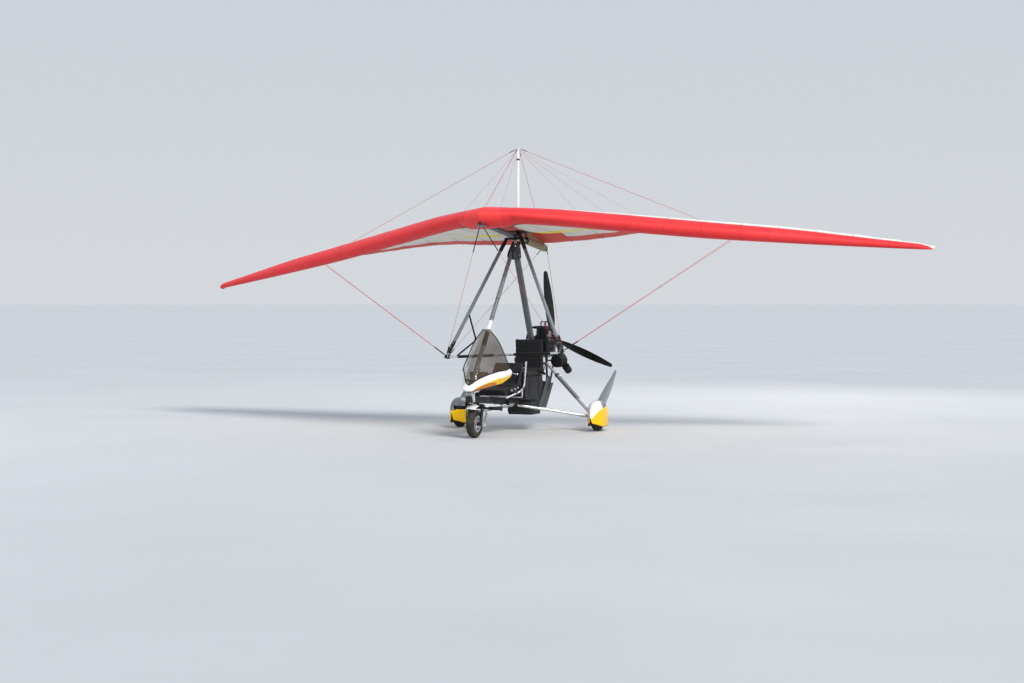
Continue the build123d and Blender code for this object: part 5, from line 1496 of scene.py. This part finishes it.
def makeEngineDetail():
    metal, dark, rubber, leads, clips = [], [], [], [], []
    e = engineShape
    crank, middle = e["crank"], e["middle"]
    for y in e["barrels"]:
        # head nuts, sparking plug with its cap and lead
        plug = onTrike([0.0, y, crank + e["head"]])
        nuts = [plug + [dx, dy, 0] for dx in (0.048, -0.048) for dy in (0.045, -0.045)]
        metal += boltsAt(nuts, (0, 0, 1), 0.0065)
        metal += lathePatches(e["plug"], plug, (0, 0, 1), 16)
        dark += tubePatches(plug + np.array(e["plugCap"][0]), e["plugCap"][1], 12)
        leads += tubePatches(smoothPath(plug + np.array(e["lead"]), 8), 0.0035, 8)
        # carburettor on the left with its rubber flange and inlet hose towards the silencer
        carb, lean = onTrike([0.112, y, crank + 0.122]), (1, 0, -0.12)
        rubber += lathePatches(e["flange"], onTrike([0.056, y, crank + 0.13]), lean, 20)
        metal += lathePatches(e["throat"], carb, lean, 24) + lathePatches(e["bowl"], carb, (0, 0, 1), 20)
        end = onTrike([e["drum"][0], e["drum"][1] + (y - middle + 0.01) * 0.55, 0.915])
        hose = smoothPath([carb + [0.032, 0, -0.004], carb + [0.075, -0.01, -0.02],
                           end + [0.012, 0.02, 0.075], end], 10)
        rubber += tubePatches(hose, 0.0245 + 0.0011 * (np.arange(len(hose)) % 2), 18)
        clips += tubePatches([hose[0] - [0.002, 0, 0], hose[0] + [0.01, 0, -0.001]], 0.0262, 20)
    # cover on the front face and its screws
    dark += lathePatches(e["cover"], onTrike([0, middle - 0.176, crank - 0.01]), (0, -1, 0), 40)
    rim = onTrike([0, middle - 0.186, crank - 0.01])
    metal += boltsAt([rim + [0.071 * math.cos(a), 0, 0.071 * math.sin(a)] for a in turns(8) + np.pi / 8],
                     (0, -1, 0), 0.0042)
    for side in (1, -1):
        # crankcase split with its screws, and the rubber mounts
        split = onTrike([0, middle, crank - 0.012])
        dark += boxPatches(split + [side * 0.101, 0, 0], (0.01, 0.33, 0.016), soften=0.003)
        metal += boltsAt([split + [side * 0.1058, -0.14 + 0.056 * k, 0] for k in range(6)],
                         (side, 0, 0), 0.0045)
        for y in (middle - 0.12, middle + 0.15):
            rubber += lathePatches(e["mount"], onTrike([side * 0.096, y, 0.9135]), (0, 0, 1), 20)
            metal += boltPatches(onTrike([side * 0.102, y, 0.9142]), (0, 0, 1), 0.0062)
    # gearbox cover screws
    cover = onTrike([0, e["gearRear"], (crank + e["propZ"]) / 2])
    metal += boltsAt([cover + [0.064 * math.sin(a), 0, 0.113 * math.cos(a)] for a in turns(10)],
                     (0, 1, 0), 0.0048)
    # water hoses from the head to the radiator
    for x, foot in e["hoses"]:
        path = [(x, 0.392, crank + 0.232), (x * 1.6, 0.34, crank + 0.222), (x * 2.1, 0.296, crank + 0.1),
                (x * 2.2, 0.276, 0.93), (foot[0] * 0.98, 0.27, 0.76),
                (foot[0], foot[1] + 0.012, 0.64), foot]
        p = onTrike(smoothPath(path, 10))
        rubber += tubePatches(p, 0.0125, 16)
        for k, step in ((1, 1), (-2, -1)):
            d = unit(p[k + step] - p[k])
            clips += tubePatches([p[k] - d * 0.005, p[k] + d * 0.005], 0.0138, 18)
    makePieces("trike", ("engine_bolts", metal, "alloy"), ("engine_covers", dark, "engine"),
               ("engine_hoses", rubber, "rubber"), ("plug_leads", leads, "rubber"),
               ("hose_clips", clips, "steel"))


intakeShape = {
    "ribs": 9, "firstRib": 0.322, "ribStep": 0.018,
    "rib": ((-0.0045, 0.0815), (-0.003, 0.0842), (0.003, 0.0842), (0.0045, 0.0815)),
    "filter": (0.336, 0.5, 0.745), "lean": 60, "pleats": 36, "filterR": 0.0442, "pleatDepth": 0.0016,
    "filterEnd": ((0.04, 0.0475), (0.052, 0.0475), (0.055, 0.044), (0.0555, 0.0001)),
}


def makeIntake():
    # ribs on the drum, and a pleated filter between its rubber ends
    s = intakeShape
    x, _, z = engineShape["drum"]
    ribs, ends = [], []
    for k in range(s["ribs"]):
        ribs += lathePatches(s["rib"], onTrike([x, s["firstRib"] + s["ribStep"] * k, z]), (0, 1, 0), 56)
    t = math.radians(s["lean"])
    centre = onTrike(s["filter"])
    ax, e1, e2 = acrossOf([0, -math.sin(t), math.cos(t)])
    a = turns(s["pleats"] * 6)
    r = s["filterR"] + s["pleatDepth"] * np.cos(a * s["pleats"])
    around = np.cos(a)[:, None] * e1 + np.sin(a)[:, None] * e2
    rows = [centre + ax * h + around * (r * q)[:, None] for h, q in ((-0.042, 1), (0.0, 0.99), (0.042, 0.98))]
    pleats = [gridPatch(np.stack(rows), closeV=True, flip=True)]
    for side in (1, -1):
        ends += lathePatches(s["filterEnd"], centre, ax * side, 40)
    makePieces("trike", ("drum_ribs", ribs, "plastic"))
    makePiece("filter_pleats", pleats, mat["plastic"], "trike", angle=25)
    makePieces("trike", ("filter_ends", ends, "rubber"))


radiatorShape = {
    "lean": 48, "middle": (0, 0.228, 0.478), "halfWidth": 0.158, "halfHeight": 0.108, "fins": 58, "rows": 9,
    "tank": ((-0.178, -0.17, 0.17, 0.178), (0.022, 0.026, 0.026, 0.022)),
    "cap": ((0, 0.018), (0.006, 0.018), (0.007, 0.024), (0.014, 0.023), (0.016, 0.0)),
}


def makeRadiator():
    # core faces of fine upright fins, end tanks and cap
    s = radiatorShape
    t = math.radians(s["lean"])
    along, out = np.array([0, math.cos(t), math.sin(t)]), np.array([0, -math.sin(t), math.cos(t)])
    across, centre = np.array([1.0, 0, 0]), onTrike(s["middle"])
    fins, tanks = [], []
    for face in (1, -1):
        for x in np.linspace(-s["halfWidth"], s["halfWidth"], s["fins"]):
            mid, half = centre + across * x + out * face * 0.0232, along * s["halfHeight"]
            fins += strapPatches([mid - half, mid, mid + half], 0.0016, 0.0022, out * face)
        for k in range(s["rows"]):
            mid, half = centre + out * face * 0.0236 + along * (-0.096 + 0.024 * k), across * s["halfWidth"]
            fins += strapPatches([mid - half, mid, mid + half], 0.0045, 0.0012, out * face)
    for side in (1, -1):
        end = centre + along * 0.1235 * side
        tanks += tubePatches([end + across * x for x in s["tank"][0]], s["tank"][1], 20, flat=0.62)
    capFoot = centre + along * 0.128 + across * 0.06 + out * 0.014
    cap = lathePatches(s["cap"], capFoot, out * 0.4 + along * 0.9, 24)
    makePieces("trike", ("radiator_fins", fins, "plate"), smooth=False)
    makePieces("trike", ("radiator_tanks", tanks, "plastic"), ("radiator_cap", cap, "alloy"))


exhaustShape = {
    # springs over the joints: upper and lower end as (x, z), offset each way, turns, coil and wire radius
    "spring": ((-0.12, 1.113), (-0.176, 1.081)), "offset": 0.026, "turns": 11, "coilR": 0.0042,
    "wireR": 0.001,
    # bands: y places, (x, z) of the axis and (place, radius) outline
    "bands": (((0.335, 0.645), (-0.252, 0.85),
               ((-0.009, 0.0542), (-0.009, 0.0556), (0.009, 0.0556), (0.009, 0.0542))),
              ((0.42, 0.64), (-0.232, 1.04),
               ((-0.004, 0.057), (-0.003, 0.0592), (0.003, 0.0592), (0.004, 0.057)))),
}


def makeExhaustDetail():
    # springs and flanges at the joints, and bands round the chamber and silencer
    s = exhaustShape
    springs, bands = [], []
    for y in engineShape["barrels"]:
        for dz in (s["offset"], -s["offset"]):
            start, end = (np.array([x, y, z + dz]) for x, z in s["spring"])
            t = np.linspace(0, 1, 90)[:, None]
            turn = 2 * np.pi * s["turns"] * t
            e1, e2 = np.array([0, 1.0, 0]), np.cross(unit(end - start), [0, 1.0, 0])
            path = start + (end - start) * t + s["coilR"] * (np.cos(turn) * e1 + np.sin(turn) * e2)
            springs += tubePatches(onTrike(path), s["wireR"], 5)
        port = np.array([-0.085, y, 1.132])
        bands += sleevePatches(port, unit([-0.212, 0, -0.124]), (0, 0.01), 0.0245, 20, place=onTrike)
    for places, (x, z), outline in s["bands"]:
        for y in places:
            bands += lathePatches(outline, onTrike([x, y, z]), (0, 1, 0), 40)
    makePieces("trike", ("exhaust_springs", springs, "steel"), ("exhaust_bands", bands, "exhaust"))


propShape = {
    # blade: distance from the hub, chord, thickness, twist
    "blade": ((0.0623, 0.04, 0.03, 62), (0.17, 0.092, 0.024, 42), (0.38, 0.112, 0.016, 26),
              (0.64, 0.096, 0.011, 17), (0.88, 0.046, 0.006, 13)),
    "angles": (97.0, -23.0, 217.0), "collar": ((0.0, 0.02), (0.002, 0.024), (0.012, 0.024), (0.016, 0.019)),
}


def makePropeller():
    # smooth twisted blades over the CAD's stations, with shank collars and hub bolts
    s, e = propShape, engineShape
    rows, radius = smoothPath(s["blade"], 14), s["blade"][-1][0]
    centre = onTrike([0, e["propY"], e["propZ"]])
    t = np.linspace(0, 1, 25)
    lens = 0.5 * np.sqrt(np.clip(1 - (2 * t - 1) ** 2, 0, 1)) * (1 - 0.35 * (2 * t - 1) * 0.6)
    blades, collars = [], []
    for angle in s["angles"]:
        b = math.radians(90 - angle)
        out, side = np.array([math.sin(b), 0, math.cos(b)]), np.array([math.cos(b), 0, -math.sin(b)])
        aft = np.array([0, 1.0, 0])
        sections = []
        for r, chord, thick, twist in rows:
            a = math.radians(twist)
            tip = math.sqrt(max(0.02, 1 - max(0.0, (r - radius + 0.025) / 0.026) ** 2))
            e1, e2 = side * math.cos(a) + aft * math.sin(a), aft * math.cos(a) - side * math.sin(a)
            xs, hs = (t - 0.5) * chord * tip, lens * thick * tip
            loop = [out * r + e1 * x + e2 * h for x, h in zip(xs, hs)]
            loop += [out * r + e1 * x - e2 * h * 0.8 for x, h in list(zip(xs, hs))[-2:0:-1]]
            sections.append(loop)
        ring = np.array(sections) + centre
        blades += [gridPatch(ring, closeV=True), fanPatch(ring[0]), fanPatch(ring[-1], flip=True)]
        collars += lathePatches(s["collar"], centre + out * 0.058, out, 24)
    bolts = boltsAt([centre + [0.048 * math.cos(a), 0.026, 0.048 * math.sin(a)] for a in turns(6)],
                    (0, 1, 0), 0.0065)
    makePiece("blade_skins", blades, mat["blade"], "propeller", ("propeller_blades",), "blade_composite",
              angle=45)
    makePieces("propeller", ("blade_collars", collars, "darkTube"), ("hub_bolts", bolts, "steel"))


makeTank()
makeEngineDetail()
makeIntake()
makeRadiator()
makeExhaustDetail()
makePropeller()
print("engine bay made")


# steering gear, frame fittings and controls
forkShape = {
    "rake": 15, "wheel": wheelShape["front"], "rodX": 0.08, "rodAhead": -0.128,
    "turns": 9, "coilR": 0.015, "wireR": 0.0024, "coilFoot": 0.03, "coilLength": 0.12,
    "pedal": ((0.146, 0.15, 0.286, 0.29), (0.0183, 0.0205, 0.0205, 0.0183)),
}


def onSteer(distance, x=0.0, forward=0.0):
    # a place by its distance up the raked stem from the wheel's centre
    t = math.radians(forkShape["rake"])
    return onTrike(forkShape["wheel"] + np.array([0, math.sin(t), math.cos(t)]) * distance
                   + np.array([0, -math.cos(t), math.sin(t)]) * forward + [x, 0, 0])


def makeForkDetail():
    # bright rods, spring coils, pedal rubbers and bolts of the nose leg
    s = forkShape
    bright, rubber, bolts, coils = [], [], [], []
    up, fore = onSteer(1) - onSteer(0), s["rodAhead"]
    for side in (1, -1):
        x = side * s["rodX"]
        bright += tubePatches([onSteer(0.012, x, fore), onSteer(0.206, x, fore)], 0.0088, 16)
        bright += tubePatches([onSteer(-0.004, x, -0.012), onSteer(-0.004, x, -0.122)], 0.0136, 18)
        path = []
        for t in np.linspace(0, 1, 130):
            a = 2 * np.pi * s["turns"] * t
            path.append(onSteer(s["coilFoot"] + s["coilLength"] * t, x + s["coilR"] * math.cos(a),
                                fore + s["coilR"] * math.sin(a)))
        coils += tubePatches(path, s["wireR"], 6)
        for d in (0.028, 0.152):
            bright += tubePatches([onSteer(d, x, fore), onSteer(d + 0.004, x, fore)], 0.0185, 20)
        bolts += boltPatches(onSteer(0, side * 0.1042), (side, 0, 0), 0.0105)
        bolts += boltPatches(onSteer(-0.004, side * 0.0932, fore), (side, 0, 0), 0.0075)
        bolts += boltPatches(onSteer(0.2325, side * 0.055, 0.0), up, 0.007)
        bolts += boltPatches(onSteer(0.219, side * 0.08, -0.13), up, 0.006)
        rubber += tubePatches([onSteer(0.2, side * v, -0.058) for v in s["pedal"][0]], s["pedal"][1], 20)
    bolts += boltPatches(onSteer(0.368), up, 0.012)
    makePieces("fork", ("fork_rods", bright, "brightTube"), ("fork_springs", coils, "steel"),
               ("pedal_rubbers", rubber, "rubber"), ("fork_bolts", bolts, "steel"))


frameShape = {
    # middle lines of beam, strut and mast: (y, z) at both ends
    "beam": ((-1.87, 0.46), (0.57, 0.3)), "strut": ((-1.822, 0.56), (-0.53, 2.196)),
    "mast": ((0.478, 0.352), (-0.388, 2.19)),
    "beamBolts": (-1.35, -1.05, -0.72, -0.42, 0.42, 0.53), "mastBolts": (0.8, 0.85, 0.9, 0.945),
    "knuckleBolts": ((-0.02, -0.035), (0.02, -0.035), (-0.02, 0.085), (0.02, 0.085)),
    # diagonal arms: both ends, and the collars' shares and radii
    "armTop": (0.176, 0.2, 0.815), "armLow": (0.822, 0.0, 0.229),
    "collars": ((0.2375, 0.0292), (0.262, 0.0285)),
    # sleeves on the strut: heights and radii; ties; the cable behind it as (height, gap)
    "foam": ((1.071, 1.075, 1.218, 1.222), (0.0255, 0.0285, 0.0285, 0.0255)),
    "sleeve": ((1.232, 1.234, 1.358, 1.36), (0.0255, 0.0272, 0.0272, 0.0255)),
    "ties": (0.9, 1.4, 1.62, 1.9),
    "cable": ((0.8, 0.029), (1.0, 0.0285), (1.04, 0.03), (1.08, 0.0326), (1.34, 0.0326), (1.4, 0.0292),
              (1.8, 0.0292), (2.12, 0.031), (2.17, 0.075)),
}


def beamZ(y):
    return np.interp(y, *np.array(frameShape["beam"]).T)


def lineY(which, z):
    # y of the strut's or the mast's middle line at a height
    y, height = np.array(frameShape[which]).T
    return float(np.interp(z, height, y))


def makeFrameDetail():
    # bolts, collars, sleeves, ties and cables of the trike's frame
    s = frameShape
    bolts, dark, cables = [], [], []
    for side in (1, -1):
        def bolt(rows, x, size):
            return boltsAt([onTrike([side * x, y, z]) for y, z in rows], (side, 0, 0), size)

        bolts += bolt([(-1.78, beamZ(-1.78)), (-1.8, 0.53), (-1.8, 0.585)], 0.0364, 0.0085)
        bolts += bolt([(y, beamZ(y)) for y in s["beamBolts"]], 0.0302, 0.007)
        bolts += bolt([(lineY("mast", z) - 0.004, z) for z in s["mastBolts"]], 0.0394, 0.0072)
        bolts += bolt([(-0.388, 2.262), (lineY("mast", 2.16), 2.16), (lineY("mast", 2.13) - 0.005, 2.125),
                       (lineY("strut", 2.17), 2.175)], 0.0394, 0.0078)
        # bolts of the wheel knuckle, the diagonal arm's collars and its upper pin
        knuckle = [onTrike([side * 0.8155, y, 0.171 + z]) for y, z in s["knuckleBolts"]]
        bolts += boltsAt(knuckle, (-side, 0, 0), 0.0065)
        top, low = (np.array(s[k]) * [side, 1, 1] for k in ("armTop", "armLow"))
        for share, r in s["collars"]:
            dark += sleevePatches(top + (low - top) * share, unit(low - top), (-0.006, 0.006), r, 26, onTrike)
        bolts += boltPatches(onTrike(top + [side * 0.0005, 0, 0]), (side, 0, 0), 0.011)

    def onStrut(heights):
        return onTrike([(0, lineY("strut", z), z) for z in heights])

    dark += tubePatches(onStrut(s["foam"][0]), s["foam"][1], 24)
    for z in s["ties"]:
        dark += tubePatches(onStrut((z, z + 0.006)), 0.0262, 20)
    behind = [(0.0, lineY("strut", z) + gap, z) for z, gap in s["cable"]]
    cables += tubePatches(onTrike(smoothPath(behind, 8)), 0.0028, 8)
    for k, x in enumerate((0.034, 0.04)):
        path = [(x, -1.55, 0.012), (x - 0.001, -1.2, 0.012 * k), (x - 0.001, -0.7, 0.012 * k),
                (x, -0.2, 0.012 * k), (x + 0.004, 0.28, 0.016)]
        path = smoothPath([(a, y, beamZ(y) + gap) for a, y, gap in path], 8)
        cables += tubePatches(onTrike(path), 0.0032, 8)
    # plug in the beam's end
    dark += boxPatches(onTrike([0, -1.8705, 0.46]), (0.0596, 0.006, 0.0796), soften=0.0015, turn=-3.75)
    sleeve = tubePatches(onStrut(s["sleeve"][0]), s["sleeve"][1], 24)
    makePieces("trike", ("strut_sleeve", sleeve, "whitePart"), ("trike_bolts", bolts, "steel"),
               ("frame_collars", dark, "plastic"), ("control_cables", cables, "plastic"))


controlShape = {
    # park brake lever: places of the plate, pivot, bend and knob
    "plate": (-0.2235, -0.905, 0.497), "pivot": (-0.224, -0.905, 0.5), "bend": (-0.24, -0.925, 0.57),
    "tip": (-0.248, -0.975, 0.64), "knobWay": (-0.1, -0.35, 1),
    "knob": ((-0.016, 0.0001), (-0.014, 0.007), (-0.006, 0.0125), (0.004, 0.0145), (0.012, 0.0115),
             (0.016, 0.005), (0.017, 0.0001)),
    # rod with a ball at the pod's port edge; knobs on a plate above the seat rail; foot pegs
    "rod": (0.29, -1.31, 0.75), "ball": (0.268, -1.013, 0.7255), "ballR": 0.012,
    "buttons": ((-1.105, 0.536), (-1.000, 0.546), (-0.91, 0.56)),
    "button": ((0.0, 0.006), (0.006, 0.006), (0.007, 0.0115), (0.016, 0.0125), (0.02, 0.01),
               (0.021, 0.0001)),
    "peg": (0.06, 0.128), "pegY": -0.75, "pegZ": 0.352,
}


def makeControls():
    s = controlShape
    metal = boxPatches(onTrike(s["plate"]), (0.012, 0.075, 0.046), soften=0.003)
    metal += tubePatches(onTrike(smoothPath([s["pivot"], s["bend"], s["tip"]], 8)), 0.0048, 10)
    metal += boltPatches(onTrike([-0.2297, -0.905, 0.5]), (-1, 0, 0), 0.006)
    knobs = lathePatches(s["knob"], onTrike(s["tip"]), s["knobWay"], 20)
    rod, ball = onTrike(s["rod"]), onTrike(s["ball"])
    metal += tubePatches([rod, ball], 0.0045, 10)
    a = np.linspace(0.05, np.pi - 0.05, 12)
    metal += lathePatches(np.column_stack([-np.cos(a), np.sin(a)]) * s["ballR"], ball, ball - rod, 20)
    plate = boxPatches(onTrike([0.2185, -1.006, 0.534]), (0.004, 0.26, 0.052), soften=0.0012, turn=-7.0)
    for y, z in s["buttons"]:
        metal += lathePatches(s["button"], onTrike([0.2205, y, z]), (1, 0, 0), 18)
    y, z, (inner, outer) = s["pegY"], s["pegZ"], s["peg"]
    for side in (1, -1):
        metal += tubePatches(onTrike([(side * inner, y, z), (side * outer, y, z)]), 0.0105, 16)
        plate += boxPatches(onTrike([side * 0.046, y, z + 0.01]), (0.031, 0.04, 0.05), soften=0.004)
        plate += tubePatches(onTrike([(side * (outer + dx), y, z) for dx in (0, 0.0005, 0.0065)]),
                             [0.012, 0.0155, 0.0155], 16)
    makePieces("trike", ("hand_levers", metal, "brightTube"), ("lever_knobs", knobs, "plastic"),
               ("peg_clamps", plate, "plastic"))


makeForkDetail()
makeFrameDetail()
makeControls()
print("frame details made")


# finishes of the CAD nodes that stay
nodeFinish = {
    "darkTube": ("keel_beam", "fork", "mast_head", "pod_bracket", "training_bars"),
    "tube": ("mast", "engine_mount", "cross_bar", "keel_tube"), "strut": ("front_strut",),
    "brightTube": ("seat_frame", "base_bar"), "whitePart": ("kingpost",),
    "plastic": ("intake_silencer", "bar_corners"),
    "steel": ("stub_axles", "hang_bracket"), "rim": ("front_rim", "left_rim", "right_rim"),
    "gearArm": ("gear_arms",), "upright": ("uprights",), "beige": ("instrument_panel",),
    "tank": ("fuel_tank", "belly_box"),
    "engine": ("engine",), "alloy": ("gearbox", "propeller_hub"), "radiator": ("radiator",),
    "exhaust": ("exhaust",), "white": ("front_mudguard",), "redWire": ("lower_wires", "upper_wires"),
}
for key, names in nodeFinish.items():
    for name in names:
        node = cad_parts[name]
        node.data.materials.clear()
        node.data.materials.append(mat[key])
        node.data.shade_smooth()
        node.data.set_sharp_from_angle(angle=math.radians(35))


# floor, light and output settings
def makeStage():
    size = 400.0
    corners = [[(-size, -size, 0), (size, -size, 0)], [(-size, size, 0), (size, size, 0)]]
    meshObject("floor", [gridPatch(corners, flip=True)], mat["floor"], smooth=False)


def makeLight(name, place, target, size, power, color, kind="AREA"):
    # a round area light size metres wide, or a far light size radians wide
    data = bpy.data.lights.new(name, kind)
    data.energy, data.color = power, color
    if kind == "SUN":
        data.angle = size
    else:
        data.shape, data.size = "DISK", size
    obj = bpy.data.objects.new(name, data)
    obj.location = place
    aim = np.array(target, float) - np.array(place, float)
    tilt, heading = math.atan2(math.hypot(aim[0], aim[1]), -aim[2]), math.atan2(aim[0], -aim[1]) + math.pi
    obj.rotation_euler = (tilt, 0, heading)
    bpy.context.scene.collection.objects.link(obj)


def makeWorld():
    world = bpy.data.worlds.new("studio")
    bpy.context.scene.world = world
    world.use_nodes = True
    t = world.node_tree
    back = t.nodes["Background"]
    way = addNode(t, "ShaderNodeTexCoord").outputs["Generated"]
    ramp = spread(t, addNode(t, "ShaderNodeSeparateXYZ", {0: way}).outputs[2], -0.1, 0.75)
    t.links.new(mixNode(t, ramp, (0.86, 0.88, 0.9, 1), (0.5, 0.6, 0.76, 1)), back.inputs["Color"])
    back.inputs["Strength"].default_value = 0.75


makeStage()
makeWorld()
makeLight("key", (10.0, -7.5, 11.5), (0, 0, 1.2), math.radians(22), 2.6, (1.0, 0.97, 0.93), "SUN")
makeLight("fill", (-10.0, -8.0, 5.0), (0, 0, 1.2), 7.0, 180, (0.9, 0.95, 1.0))
makeLight("rim", (2.0, 11.0, 7.0), (0, 0, 1.5), 5.0, 220, (1.0, 0.98, 0.95))
view = bpy.context.scene.view_settings
view.view_transform, view.look, view.exposure = "Standard", "Medium High Contrast", -0.1
